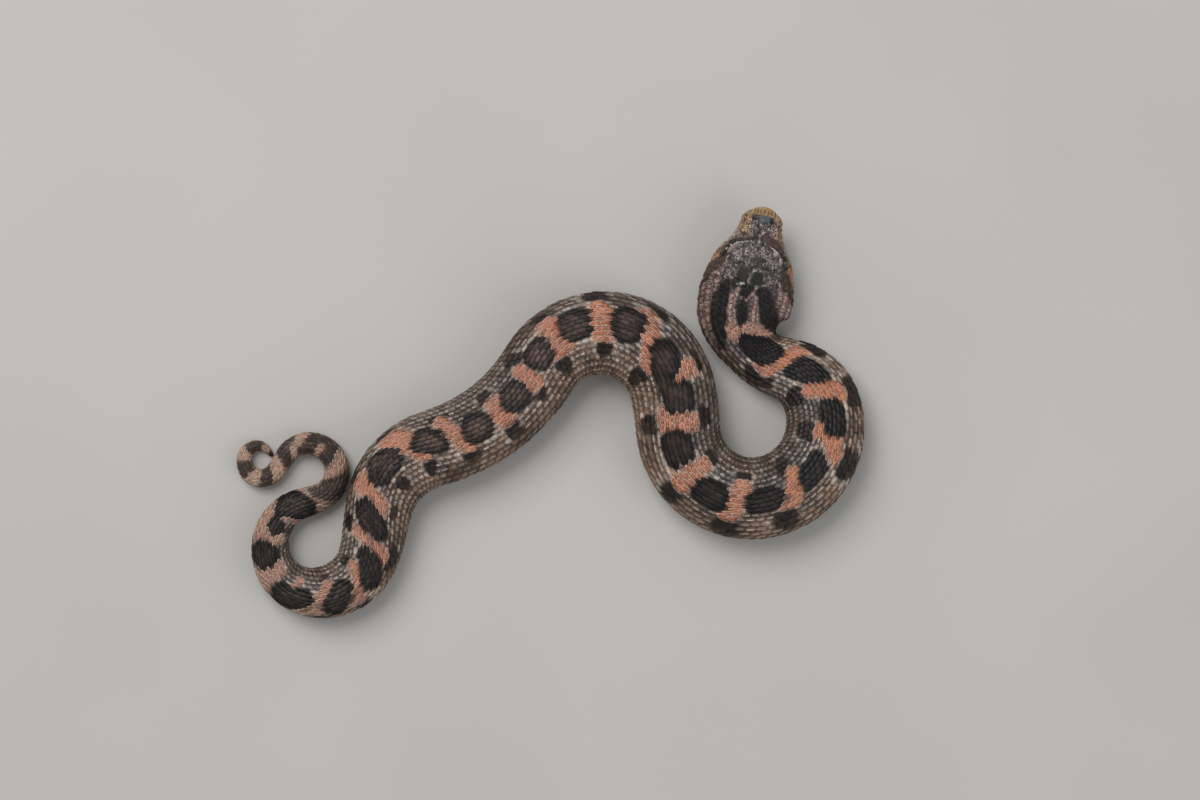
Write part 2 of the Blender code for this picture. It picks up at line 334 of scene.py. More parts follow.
VIEW_CENTRE = (10.1, 2.57, 5.0)
VIEW_WIDTH = 240.0
lens = bpy.data.cameras.new("camera_above")
lens.lens = 100
lens.sensor_width = 36
lens.clip_start = 0.01
camera = bpy.data.objects.new("camera_above", lens)
bpy.context.scene.collection.objects.link(camera)
distance = VIEW_WIDTH * lens.lens / lens.sensor_width
camera.location = [VIEW_CENTRE[0] * MM, VIEW_CENTRE[1] * MM, (VIEW_CENTRE[2] + distance) * MM]
bpy.context.scene.camera = camera
bpy.context.scene.view_settings.view_transform = "Standard"
print("camera stands", round(distance), "mm above the snake")

# %% Soft light


def add_lamp(name, place, size, power, colour):
    """A square area lamp aimed at the snake."""
    data = bpy.data.lights.new(name, "AREA")
    data.shape = "SQUARE"
    data.size = size
    data.energy = power
    data.color = colour
    lamp = bpy.data.objects.new(name, data)
    lamp.location = place
    away = lamp.location.copy()
    lamp.rotation_euler = away.to_track_quat("Z", "Y").to_euler()
    bpy.context.scene.collection.objects.link(lamp)
    return lamp


add_lamp("sky_lamp", (-0.35, 0.45, 0.75), 0.60, 6.6, (1.0, 0.985, 0.96))
add_lamp("fill_lamp", (0.60, -0.30, 0.45), 0.50, 1.5, (0.92, 0.96, 1.0))
world = bpy.data.worlds.new("overcast")
bpy.context.scene.world = world
world.use_nodes = True
world.node_tree.nodes["Background"].inputs["Color"].default_value = (0.97, 0.985, 1.0, 1)
world.node_tree.nodes["Background"].inputs["Strength"].default_value = 0.42
print("two lamps and an overcast world")

# %% [markdown]
# ## Building materials from nodes
#
# Each finish is a small network of nodes on a Principled shader. A few helpers make
# such networks short: they add a node, mix two colours, do a sum, or make noise and
# cells. What is the same all over a surface, such as its specular level, is set on the
# shader itself.

# %% Helpers for node networks


class Network:
    """The node tree of one new material, and short ways to add to it."""

    def __init__(self, name):
        self.material = bpy.data.materials.new(name)
        self.material.use_nodes = True
        self.tree = self.material.node_tree
        self.shader = self.tree.nodes["Principled BSDF"]

    def link(self, source, target):
        """Feeds a socket from another, or sets it where a plain value is given."""
        if isinstance(source, bpy.types.NodeSocket):
            self.tree.links.new(source, target)
        else:
            target.default_value = source

    def node(self, kind, **settings):
        """Adds a node of a kind and sets its properties."""
        made = self.tree.nodes.new("ShaderNode" + kind)
        for key, value in settings.items():
            setattr(made, key, value)
        return made

    def sum(self, operation, first, second=0.0, third=None):
        """The result of a Math node."""
        made = self.node("Math", operation=operation)
        self.link(first, made.inputs[0])
        self.link(second, made.inputs[1])
        if third is not None:
            self.link(third, made.inputs[2])
        return made.outputs[0]

    def between(self, value, start, end):
        """0 where value is at start, 1 where it is at end, smooth between them."""
        made = self.node("MapRange", interpolation_type="SMOOTHSTEP")
        self.link(value, made.inputs["Value"])
        made.inputs["From Min"].default_value = start
        made.inputs["From Max"].default_value = end
        return made.outputs["Result"]

    def mix(self, share, first, second, blend="MIX"):
        """Two colours mixed."""
        made = self.node("Mix", data_type="RGBA", blend_type=blend)
        self.link(share, made.inputs["Factor"])
        self.link(first, made.inputs["A"])
        self.link(second, made.inputs["B"])
        return made.outputs["Result"]

    def noise(self, per_metre, detail=2.0, vector=None):
        """Noise with about this many bumps to a metre."""
        made = self.node("TexNoise")
        made.inputs["Scale"].default_value = per_metre
        made.inputs["Detail"].default_value = detail
        self.link(vector or self.place(), made.inputs["Vector"])
        return made.outputs["Fac"]

    def cells(self, per_metre, feature="F1", vector=None):
        """Distance inside rounded cells, or to the edge between two of them."""
        made = self.node("TexVoronoi", feature=feature)
        made.inputs["Scale"].default_value = per_metre
        self.link(vector or self.place(), made.inputs["Vector"])
        return made.outputs["Distance"]

    def place(self):
        """Object coordinates."""
        return self.node("TexCoord").outputs["Object"]

    def warped(self, per_metre, reach):
        """Object coordinates pushed about by noise, so that cells look less even."""
        noise = self.node("TexNoise")
        noise.inputs["Scale"].default_value = per_metre
        self.link(self.place(), noise.inputs["Vector"])
        pushed = self.node("VectorMath", operation="MULTIPLY_ADD")
        self.link(noise.outputs["Color"], pushed.inputs[0])
        pushed.inputs[1].default_value = (reach, reach, reach)
        self.link(self.place(), pushed.inputs[2])
        return pushed.outputs[0]

    def attribute(self, name):
        """A colour or number that the mesh carries."""
        return self.node("Attribute", attribute_name=name)

    def bump(self, height, distance, strength=1.0):
        """Small relief, with its depth in metres."""
        made = self.node("Bump")
        made.inputs["Strength"].default_value = strength
        made.inputs["Distance"].default_value = distance
        self.link(height, made.inputs["Height"])
        self.link(made.outputs["Normal"], self.shader.inputs["Normal"])

    def finish(self, colour, roughness, **constants):
        """Joins colour and roughness to the shader and sets its constants."""
        self.link(colour, self.shader.inputs["Base Color"])
        self.link(roughness, self.shader.inputs["Roughness"])
        for key, value in constants.items():
            self.shader.inputs[key.replace("_", " ")].default_value = value
        return self.material


print("helpers:", ", ".join(name for name in vars(Network) if not name.startswith("_")))

# %% Colours as a picker gives them


def linear(*levels):
    """A colour given in the levels of a colour picker, 0 to 255, as the shader wants it."""
    share = np.array(levels, float) / 255
    return np.where(share <= 0.04045, share / 12.92, ((share + 0.055) / 1.055) ** 2.4)


print("half way up the picker is", round(float(linear(128)[0]), 3), "of full light")

# %% Floor

bpy.ops.mesh.primitive_plane_add(size=1.6, location=(0, 0, 0))
floor = bpy.context.object
floor.name = "floor"
floor.data.transform(floor.matrix_world)
floor.matrix_world.identity()
pale = Network("pale_floor")
grain = pale.noise(14.0, 2.0)
tone = pale.mix(pale.between(grain, 0.2, 0.8), (*linear(182, 180, 177), 1),
                (*linear(187, 185, 182), 1))
floor.data.materials.append(pale.finish(tone, 0.9, Specular_IOR_Level=0.1))
bpy.ops.object.select_all(action="DESELECT")
print("floor of", round(floor.dimensions.x, 2), "m")

# %% [markdown]
# ## The markings
#
# A hognose wears dark saddles along its back, parted by orange bands, with a row of
# dark spots low on each side that stand opposite the bands. Each mark is written down
# as a naturalist would note it: how far along, how far out to the right, how broad.
# One function then says which colour a place on the sleeve has. The skin and the
# scales both ask it, so they can't disagree, and since each scale takes a third of its
# colour from its own middle, the marks get the slightly stepped edges that scales give.

# %% The colours it wears

TINTS = {
    "saddle": linear(30, 26, 26), "saddle_edge": linear(14, 12, 13),
    "saddle_rear": linear(80, 64, 58),
    "orange": linear(163, 99, 69), "orange_pale": linear(165, 116, 91),
    "orange_vivid": linear(178, 100, 54),
    "band_rim": linear(214, 188, 168), "cream": linear(190, 176, 165),
    "back": linear(100, 92, 89), "back_right": linear(134, 114, 101),
    "back_dark": linear(74, 64, 60),
    "flank": linear(138, 113, 94), "flank_left": linear(112, 99, 90),
    "flank_dark": linear(70, 54, 44),
    "spot": linear(33, 25, 23), "smudge": linear(78, 60, 50),
    "belly": linear(176, 166, 154), "belly_mark": linear(98, 84, 76),
    "tail_dark": linear(66, 54, 48), "tail_band": linear(138, 108, 94),
    "tail_pale": linear(158, 136, 114),
    "crown": linear(76, 66, 66), "crown_pale": linear(94, 85, 84),
    "crown_dark": linear(26, 20, 21), "mask": linear(40, 27, 20),
    "near_black": linear(13, 10, 11), "lip": linear(168, 156, 148),
    "lip_orange": linear(172, 118, 76), "snout_tan": linear(152, 118, 74),
    "snout_pink": linear(140, 108, 92), "cheek_pink": linear(142, 116, 109),
    "stripe": linear(66, 43, 30), "nape_pale": linear(176, 148, 141),
    "white": linear(196, 190, 184), "yellow": linear(170, 142, 96),
    # the snout's blue-grey is partly its own grey and partly a painted reflection of the sky
    "russet": linear(142, 94, 66), "snout_grey_and_sky_reflection": linear(66, 76, 92),
    "olive": linear(84, 66, 46), "snout_pale": linear(160, 138, 108),
}
print(len(TINTS), "tints")

# %% Where the marks lie
# Dark saddles: along, out, half their length and breadth, the way they lean in degrees,
# and how square their ends are.

SADDLES = (
    (72.4, 0.5, 4.2, 2.4, 8, 2.6), (83.0, 1.4, 3.5, 2.8, 4, 2.8),
    (93.4, 0.95, 3.6, 3.1, 0, 2.8), (103.4, -0.6, 3.4, 3.0, -8, 2.8),
    (110.9, -0.8, 4.0, 2.8, -38, 2.6), (107.0, 1.7, 2.8, 1.2, 0, 2.2),
    (120.2, -2.2, 3.7, 2.9, -80, 2.8), (129.3, -2.3, 3.2, 2.8, 90, 2.8),
    (137.6, -1.5, 3.1, 2.8, 0, 2.6), (147.1, -0.25, 3.3, 2.75, 0, 2.6),
    (156.8, -0.4, 3.5, 2.8, -10, 2.6), (166.8, -1.6, 3.8, 2.5, -25, 2.6),
    (175.0, -2.4, 2.7, 2.5, -50, 2.4), (177.7, -2.2, 2.5, 2.0, 50, 2.4),
    (176.2, -4.2, 1.8, 1.5, 0, 2.0), (186.3, -0.8, 4.9, 2.2, 41, 2.4),
    (195.2, 1.3, 4.4, 2.1, 41, 2.4), (203.1, 1.8, 3.7, 2.2, 44, 2.4),
    (211.4, 1.8, 4.0, 2.3, 8, 2.6), (220.6, 0.9, 2.6, 2.7, 0, 2.6),
    (226.6, -0.4, 2.1, 1.9, 0, 2.2), (232.5, -0.1, 4.3, 2.6, -42, 3.0),
)
# The first saddles have slanted ends: the fifth number is how far further back a saddle
# lies for each millimetre to the right.
FRONT_SADDLES = (
    (30.5, 1.0, 4.45, 3.05, 0.60, 3.0), (40.4, 1.25, 3.40, 2.9, 0.50, 3.4),
    (50.3, 1.3, 3.80, 2.7, 0.20, 3.0), (61.3, 0.3, 3.85, 2.6, 0.35, 3.0),
)
# Orange bands: along, out and breadth at the right end, then at the left end.
BANDS = (
    (26.2, 3.2, 3.6, 24.6, -2.7, 3.6), (28.4, 4.6, 2.0, 26.6, 2.6, 2.6),
    (37.9, 4.1, 3.6, 33.2, -2.0, 3.7),
    (46.4, 3.8, 3.6, 43.5, -1.6, 3.4), (56.5, 3.0, 4.7, 52.8, -1.6, 3.6),
    (68.3, 2.5, 4.6, 64.7, -2.8, 3.6), (78.9, 4.0, 3.8, 77.3, -2.6, 4.6),
    (88.0, 4.2, 3.2, 87.9, -2.6, 4.2), (99.6, 3.0, 5.4, 98.3, -3.0, 4.0),
    (107.8, -1.2, 2.8, 107.8, -4.8, 3.4),
    (112.4, 2.6, 5.0, 117.6, -5.8, 3.2), (124.2, 1.0, 5.4, 125.2, -5.4, 3.2),
    (133.5, 1.2, 5.2, 133.5, -5.0, 3.6), (142.5, 1.6, 3.2, 142.5, -3.2, 3.2),
    (151.4, 2.4, 4.0, 151.4, -2.8, 4.0), (160.0, 2.0, 4.0, 163.4, -4.4, 3.6),
    (168.6, 1.0, 4.0, 172.4, -5.6, 4.4), (183.5, 1.2, 3.4, 180.2, -5.0, 3.5),
    (193.1, 3.0, 3.2, 188.6, -3.0, 3.0), (200.5, 3.9, 2.7, 196.5, -2.0, 2.8),
    (208.2, 3.8, 4.4, 204.4, -1.4, 3.2), (211.6, 0.2, 2.8, 211.3, -1.6, 2.4),
    (216.8, 3.6, 4.2, 217.2, -1.4, 3.2), (224.0, 2.4, 2.4, 224.0, -2.0, 2.2),
    (227.0, 2.7, 5.0, 227.0, 2.2, 4.4), (228.4, 2.2, 2.6, 230.8, -2.8, 2.2),
    (233.6, 2.2, 3.0, 237.4, -2.3, 2.4), (242.8, 2.1, 3.1, 245.8, -1.9, 3.0),
    (250.2, 1.6, 1.6, 250.0, 0.3, 1.4), (256.8, 1.4, 2.0, 253.6, -1.8, 2.2),
    (261.9, 1.8, 3.0, 260.2, -1.8, 3.0), (266.8, 1.6, 2.4, 266.2, -1.6, 2.4),
    (272.0, 1.4, 2.2, 271.8, -1.4, 2.2), (277.0, 1.0, 1.5, 277.0, -1.0, 1.5),
)
# Dark spots low on each side: start, end, inner and outer edge.
RIGHT_SPOTS = (
    (37.8, 41.6, 4.8, 7.2), (44.8, 49.4, 4.7, 8.2), (55.1, 60.0, 3.4, 7.6),
    (67.7, 72.0, 3.2, 7.4), (76.8, 80.8, 4.4, 8.2), (86.0, 89.4, 4.7, 8.2),
    (96.5, 100.5, 3.9, 7.4), (109.2, 114.4, 3.0, 7.6), (122.0, 126.4, 1.7, 5.0),
    (133.3, 137.6, 1.9, 5.4), (141.8, 145.0, 1.8, 4.4), (149.9, 153.2, 2.8, 6.2),
    (158.4, 162.0, 2.2, 5.6), (166.8, 170.0, 1.6, 5.2), (174.7, 178.0, 1.2, 4.2),
    (182.0, 185.4, 1.8, 4.2), (190.6, 194.8, 3.6, 5.8), (199.0, 201.4, 4.4, 6.0),
    (206.2, 209.4, 4.4, 6.0),
)
LEFT_SPOTS = (
    (30.6, 35.4, 1.9, 5.5), (39.4, 45.2, 2.1, 6.2), (50.9, 55.8, 2.2, 6.0),
    (63.0, 68.0, 3.0, 6.5), (75.2, 79.6, 2.4, 5.4), (86.0, 90.5, 2.3, 5.6),
    (96.9, 101.2, 3.4, 6.8), (106.5, 109.8, 5.2, 7.4), (115.2, 119.0, 5.4, 8.2),
    (123.9, 127.4, 5.8, 8.8), (132.1, 135.1, 5.0, 7.4), (139.8, 143.7, 3.7, 6.6),
    (150.0, 154.0, 2.9, 5.6), (161.2, 166.0, 4.6, 6.2), (170.9, 174.4, 5.7, 7.4),
    (178.9, 181.7, 4.8, 7.4), (185.9, 189.4, 3.6, 6.2), (195.2, 198.6, 2.2, 4.6),
    (203.6, 206.4, 1.4, 3.8),
)
# The snake lies a little rolled here and there, so the middle row of its back wanders:
# along, then out to the right.
ROLL = (
    (0, 0.0), (20, 0.2), (30, 1.0), (36, 1.4), (44, 1.2), (54, 0.6), (66, 0.0), (78, 0.8),
    (88, 1.0), (99, 0.2), (107, -0.6), (115, -1.4), (123, -2.0), (133, -1.9), (142, -0.8),
    (151, -0.2), (160, -0.9), (169, -1.8), (175, -2.3), (180, -1.8), (188, -0.2),
    (197, 1.2), (205, 1.6), (217, 1.1), (225, 0.2), (240, 0.0), (279, 0.0),
)
print(len(SADDLES) + len(FRONT_SADDLES), "saddles,", len(BANDS), "bands and",
      len(RIGHT_SPOTS) + len(LEFT_SPOTS), "side spots")

# %% Wandering edges


def ripple(x, y, seed):
    """Smooth noise from -1 to 1 with one bump to a unit, always the same for a seed."""
    x = np.asarray(x, float) + seed * 17.31
    y = np.asarray(y, float) - seed * 9.73
    i, j = np.floor(x), np.floor(y)
    u, v = x - i, y - j
    u, v = u * u * (3 - 2 * u), v * v * (3 - 2 * v)

    def corner(a, b):
        mixed = np.sin(a * 127.1 + b * 311.7 + seed * 74.7) * 43758.5453
        return (mixed - np.floor(mixed)) * 2 - 1

    low = corner(i, j) * (1 - u) + corner(i + 1, j) * u
    high = corner(i, j + 1) * (1 - u) + corner(i + 1, j + 1) * u
    return low * (1 - v) + high * v


def blend_in(colour, tint, share):
    """Lays a tint over a colour by a share for each point."""
    share = np.clip(share, 0, 1)[..., None]
    return colour * (1 - share) + np.asarray(tint) * share


print("ripple at a few places:", np.round(ripple(np.arange(3) * 0.7, 0.2, 1), 2))

# %% How deep in a mark a place lies

SADDLE_STRETCH = 1.03         # how much longer than noted the saddles are drawn
SADDLE_SPREAD = 1.10          # and how much broader
BAND_END = 1.1                # how round a band's two ends are, in millimetres


def band_depth(band, s, q):
    """1 inside a band, 0 well outside it."""
    right_s, right_q, right_w, left_s, left_q, left_w = band
    t = np.clip((q - left_q) / (right_q - left_q), 0, 1)
    middle = left_s + (right_s - left_s) * t
    half = (left_w + (right_w - left_w) * t) / 2
    past = np.maximum(np.maximum(q - right_q, left_q - q), 0)
    return 1 - smooth_step(np.hypot((s - middle) / half, past / BAND_END), 0.82, 1.18)


def spot_depth(spot, s, q, power):
    """How deep in a rounded spot a point lies: 0 in its middle, 1 at its edge."""
    start, end, inner, outer = spot
    across = (q - (inner + outer) / 2) / ((outer - inner) / 2)
    along = (s - (start + end) / 2) / ((end - start) / 2)
    return (np.abs(along) ** power + np.abs(across) ** power) ** (1 / power)


def saddle_depth(s, q):
    """0 in the middle of the nearest dark saddle, 1 at its edge, more outside it."""
    depth = np.full(np.shape(s), 9.0)
    for mid_s, mid_q, length, breadth, slant, power in FRONT_SADDLES:
        along = (s - mid_s - slant * (q - mid_q)) / length
        one = (np.abs(along) ** power + np.abs((q - mid_q) / breadth) ** power) ** (1 / power)
        depth = np.minimum(depth, one)
    for mid_s, mid_q, length, breadth, lean, power in SADDLES:
        cos, sin = math.cos(math.radians(lean)), math.sin(math.radians(lean))
        along = ((s - mid_s) * cos + (q - mid_q) * sin) / (length * SADDLE_STRETCH)
        across = ((q - mid_q) * cos - (s - mid_s) * sin) / (breadth * SADDLE_SPREAD)
        one = (np.abs(along) ** power + np.abs(across) ** power) ** (1 / power)
        depth = np.minimum(depth, one)
    return depth


print("depth in the saddle at 93 mm, from its middle outwards:",
      np.round(saddle_depth(np.full(4, 93.4), np.arange(1.0, 8.0, 2.0)), 2).tolist())

# %% The ground, the spots and the colour of bands and saddles


def two_tone(first, second, share, shape):
    """A colour between two tints by a share for each point."""
    return blend_in(np.broadcast_to(TINTS[first], (*shape, 3)), TINTS[second], share)


def ground_colour(s, q, mottle, outward):
    """Grey back, browner flanks with dark smudges low down, and the pale belly."""
    back = two_tone("back_right", "back", smooth_step(-q, -2.0, 1.0), s.shape)
    back = blend_in(back, TINTS["back_dark"], smooth_step(-mottle, -0.2, 0.5) * 0.75)
    flank = two_tone("flank", "flank_left", smooth_step(-q, -2.0, 2.0), s.shape)
    flank = blend_in(flank, TINTS["flank_dark"], smooth_step(-mottle, 0.0, 0.5) * 0.8)
    down = smooth_step(outward, 0.40, 0.90)
    colour = blend_in(back, flank, down)
    low = smooth_step(outward, 1.0, 1.35)
    smudge = smooth_step(ripple(s / 4.2, np.sign(q) * 2.0, 5) + 0.4 * mottle, 0.05, 0.5)
    colour = blend_in(colour, TINTS["smudge"], smudge * (1 - low) * down * 0.75)
    belly = two_tone("belly", "belly_mark",
                     smooth_step(ripple(s / 2.6, q / 3.0, 6), 0.1, 0.6) * 0.8, s.shape)
    return blend_in(colour, belly, smooth_step(outward, 1.35, 1.75))


def with_side_spots(colour, s, q, mottle):
    """Lays the dark spots over a colour, each with a broken cream line above it."""
    for spots, side in ((RIGHT_SPOTS, 1), (LEFT_SPOTS, -1)):
        for spot in spots:
            inner, outer = spot[2:]
            depth = spot_depth(spot, s, q * side, 2.7)
            ring = smooth_step(depth, 1.0, 1.1) * (1 - smooth_step(depth, 1.3, 1.5))
            ring = ring * smooth_step(mottle, -0.1, 0.4) * (q * side < outer)
            colour = blend_in(colour, TINTS["cream"], ring * 0.8)
            browner = smooth_step(q * side, inner * 0.45 + outer * 0.55, outer)
            tint = two_tone("spot", "smudge", browner * 0.35, s.shape)
            colour = blend_in(colour, tint, (1 - smooth_step(depth, 0.94, 1.06)) * 0.97)
    return colour


def band_colour(s, mottle):
    """Orange: pinker at the nape, most vivid behind it, browner and paler on the tail."""
    orange = two_tone("orange", "orange_pale", smooth_step(mottle, -0.1, 0.6) * 0.5, s.shape)
    orange = blend_in(orange, TINTS["nape_pale"], 0.35 * (1 - smooth_step(s, 27, 32)))
    vivid = smooth_step(s, 28, 35) * (1 - smooth_step(s, 58, 76)) * 0.75
    orange = blend_in(orange, TINTS["orange_vivid"], vivid)
    orange = blend_in(orange, TINTS["tail_band"], smooth_step(s, 188, 215) * 0.8)
    return blend_in(orange, TINTS["tail_pale"], smooth_step(s, 240, 262) * 0.7)


def saddle_colour(s, depth):
    """Nearly black at a saddle's edge, and browner in the middle of those further back."""
    dark = two_tone("saddle", "saddle_edge", smooth_step(depth, 0.45, 0.85), s.shape)
    rear = smooth_step(s, 55, 145) * (1 - smooth_step(depth, 0.35, 0.95)) * 0.85
    rear = rear * (1 - 0.65 * smooth_step(s, 165, 185))
    return blend_in(dark, TINTS["saddle_rear"], rear)


print("bands at the nape, the middle and the tail:",
      np.round(band_colour(np.array([26.0, 68.0, 266.0]), np.zeros(3)), 2).tolist())

# %% The pattern of the body

CREAM_END = 236.0             # further back the marks have no cream line round them


def body_colour(s, q):
    """Colour of the body at s, q, and how much of it is orange band."""
    q = q + 0.22 * ripple(s / 1.7, q / 1.7, 1)
    s = s + 0.25 * ripple(s / 1.9, q / 1.9, 2)
    half_width = smooth_through(GIRTH, s, 1) / 2
    outward = np.abs(q) / half_width
    mottle = ripple(s / 1.5, q / 1.2, 3) * 0.5 + ripple(s / 3.7, q / 3.1, 4) * 0.5
    colour = ground_colour(s, q, mottle, outward)
    colour = with_side_spots(colour, s, q, mottle)
    tail = smooth_step(s, 228, 238)
    colour = blend_in(colour, TINTS["tail_dark"], tail * (1 - smooth_step(outward, 0.75, 1.0)))
    banded = np.zeros(s.shape)
    for band in BANDS:
        banded = np.maximum(banded, band_depth(band, s, q))
    depth = saddle_depth(s, q)
    near = smooth_step(depth, 1.0, 1.04) * (1 - smooth_step(depth, 1.16, 1.28))
    near = near * (s < CREAM_END) * smooth_step(mottle, -0.2, 0.3) * 0.7
    colour = blend_in(colour, TINTS["cream"], near)
    colour = blend_in(colour, band_colour(s, mottle), banded)
    collar = smooth_step(banded, 0.02, 0.30) * (1 - smooth_step(banded, 0.45, 0.8))
    colour = blend_in(colour, TINTS["cream"], collar * 0.8 * (s < CREAM_END))
    inside = 1 - smooth_step(depth, 0.93, 1.03)
    colour = blend_in(colour, saddle_colour(s, depth), inside)
    return colour, banded * (1 - inside)


probe, _ = body_colour(np.array([68.0, 73.0, 60.0]), np.array([0.0, 0.0, 8.0]))
print("a band, a saddle, the flank:", np.round(probe, 3).tolist())

# %% [markdown]
# ## The head's own marks
#
# The head is painted in layers: a grey, finely spotted crown, a dark mask across the
# snout in front of the eyes with a pale line behind it, brown stripes from the eyes to
# the corners of the jaw, an orange snout rim and spotted lips, and two dark bars that
# run back over the nape. Patches are rounded boxes and stripes are lines of a given
# breadth; the same ripples make their edges wander.

# %% Patches and stripes of the head
# Patches: tint, strength, start, end, then from left (-) to right (+).

HEAD_PATCHES = (
    # the blue-grey patch on top of the snout is partly its own grey and partly a painted
    # reflection of the sky
    ("snout_tan", 0.95, -1.0, 2.0, -4.4, 4.4), ("snout_grey_and_sky_reflection", 0.65, 1.9, 3.3, -1.1, 1.7),
    ("near_black", 0.8, 2.0, 3.2, -2.3, -1.4), ("near_black", 0.8, 2.0, 3.2, 1.3, 2.2),
    ("snout_tan", 0.85, 1.8, 6.2, -4.6, -2.1), ("snout_tan", 0.8, 1.6, 2.8, 2.2, 4.2),
    ("snout_pink", 0.85, 2.6, 6.6, 2.3, 5.2), ("snout_tan", 0.6, 3.0, 8.2, 3.9, 5.6),
    ("nape_pale", 0.55, 15.0, 22.4, 6.9, 10.5), ("crown_pale", 0.6, 3.4, 5.2, -1.2, 1.6),
    ("crown_dark", 0.75, 3.6, 4.4, -1.0, -0.3), ("crown_dark", 0.7, 3.4, 4.3, 1.0, 1.9),
    ("crown_dark", 0.9, 10.3, 11.6, -1.05, 0.35), ("crown_dark", 0.9, 10.1, 11.2, 0.75, 2.4),
    ("crown_dark", 0.85, 10.2, 11.0, -2.55, -1.6), ("crown_dark", 0.9, 11.5, 12.6, -3.4, -1.7),
    ("crown_dark", 0.85, 11.9, 12.55, 1.2, 3.3), ("crown_dark", 0.9, 12.5, 13.6, -0.95, -0.1),
    ("crown_dark", 0.8, 8.2, 9.4, 0.0, 0.5), ("crown_dark", 0.7, 8.8, 9.6, 2.0, 2.5),
    ("near_black", 0.98, 13.1, 16.0, -0.1, 2.5), ("near_black", 0.98, 12.6, 16.4, -3.0, -0.4),
    ("near_black", 0.85, 14.8, 17.4, -3.7, -2.0), ("near_black", 0.98, 15.7, 18.7, -1.7, 1.3),
    ("russet", 0.6, 13.4, 14.6, 4.5, 5.3), ("mask", 0.7, 13.4, 14.4, 4.6, 5.2),
    ("mask", 0.6, 11.9, 13.2, 3.9, 4.6), ("mask", 0.65, 11.0, 12.8, -5.2, -4.4),
    ("lip_orange", 0.85, 8.8, 12.6, 6.8, 8.4), ("lip_orange", 0.85, 9.6, 11.8, -8.2, -6.9),
    ("russet", 0.7, 10.2, 11.4, -7.6, -7.0),
)
# Stripes, which taper: tint, strength, then points of (along, out, breadth).
HEAD_STRIPES = (
    ("olive", 0.95, ((6.7, -1.6, 1.5), (6.7, -3.2, 1.6), (7.4, -4.5, 1.3))),
    ("mask", 0.97, ((5.0, -0.45, 0.6), (6.6, -0.65, 0.9), (7.1, -1.9, 0.9), (7.5, -3.4, 0.8),
                    (8.1, -4.9, 1.0), (9.0, -5.7, 1.0))),
    ("near_black", 0.9, ((7.8, -5.0, 0.7), (9.0, -5.8, 0.9), (10.6, -6.1, 0.9),
                         (11.8, -6.3, 0.7))),
    ("stripe", 0.97, ((11.6, -6.2, 0.8), (12.6, -7.0, 1.5), (13.6, -7.8, 1.8),
                      (14.9, -8.6, 1.4), (16.4, -9.2, 0.9), (17.9, -9.6, 0.4))),
    ("stripe", 0.97, ((5.5, 1.6, 0.5), (6.4, 1.0, 0.9), (6.6, 2.2, 1.4), (7.2, 3.4, 1.7),
                      (8.2, 4.8, 1.3), (9.2, 5.8, 1.0))),
    ("near_black", 0.95, ((8.6, 5.4, 0.9), (9.8, 6.1, 1.2), (11.0, 6.1, 1.1),
                          (11.8, 6.1, 0.7))),
    ("stripe", 0.97, ((11.4, 6.1, 0.8), (12.6, 6.4, 1.4), (13.8, 7.1, 2.0), (14.9, 8.0, 1.8),
                      (16.4, 9.0, 1.0), (18.0, 9.5, 0.4))),
    ("white", 0.7, ((7.35, -0.7, 0.22), (7.55, -2.4, 0.26), (8.15, -4.1, 0.30),
                    (8.9, -5.2, 0.22))),
    ("white", 0.55, ((7.5, 1.3, 0.20), (7.8, 2.8, 0.24), (8.7, 4.3, 0.24), (9.7, 5.2, 0.20))),
    ("cream", 0.75, ((4.3, 1.7, 0.22), (5.4, 0.5, 0.25), (6.4, 0.12, 0.32), (7.3, 0.15, 0.4))),
    ("cream", 0.7, ((12.9, 0.75, 0.26), (13.8, -0.35, 0.26), (15.7, -0.28, 0.30))),
    ("white", 0.7, ((15.8, -1.2, 0.34), (16.3, -2.4, 0.40))),
    ("cream", 0.5, ((16.0, 1.3, 0.3), (17.0, 1.4, 0.4))),
    ("nape_pale", 0.95, ((17.3, -1.9, 0.9), (18.6, -2.7, 1.2), (20.6, -2.8, 1.5),
                         (23.6, -2.4, 1.7))),
    ("nape_pale", 0.95, ((17.4, 1.2, 0.6), (18.8, 1.7, 1.3), (20.6, 2.0, 1.5),
                         (23.6, 2.2, 1.8))),
    ("nape_pale", 0.9, ((18.2, 0.6, 0.5), (19.0, 0.0, 0.5))),
    ("yellow", 0.4, ((17.4, -2.0, 0.7), (18.2, -2.2, 0.8))),
    ("lip_orange", 0.85, ((8.6, 6.8, 0.8), (10.8, 7.6, 1.0), (12.6, 8.2, 1.0),
                          (14.2, 9.0, 0.9), (16.0, 9.9, 0.7))),
    ("lip_orange", 0.85, ((8.8, -7.0, 0.8), (10.8, -8.0, 1.1), (12.6, -8.8, 0.9))),
    ("cream", 0.55, ((8.4, 8.2, 0.5), (11.0, 8.6, 0.5), (14.6, 9.4, 0.5))),
    ("cream", 0.55, ((8.4, -8.2, 0.5), (11.0, -8.8, 0.6), (14.6, -9.4, 0.6))),
)
# Dark bars over the nape, which taper: points of (along, out, breadth).
NAPE_BARS = (
    ((16.0, -4.3, 1.2), (17.6, -4.8, 2.4), (19.6, -5.2, 3.2), (22.0, -5.2, 3.6),
     (24.6, -5.0, 3.0), (26.4, -5.2, 1.6)),
    ((16.9, 3.0, 2.4), (18.6, 3.9, 3.3), (20.5, 4.8, 4.0), (23.5, 5.3, 3.8),
     (26.0, 5.6, 3.0), (29.0, 6.0, 1.7), (32.5, 6.3, 0.8)),
    ((19.7, -0.5, 1.5), (20.8, -0.5, 2.3), (22.9, -0.45, 2.3)),
)
print(len(HEAD_PATCHES), "patches and", len(HEAD_STRIPES), "stripes on the head,",
      len(NAPE_BARS), "bars on the nape")

# %% Painting the head, and the whole snake


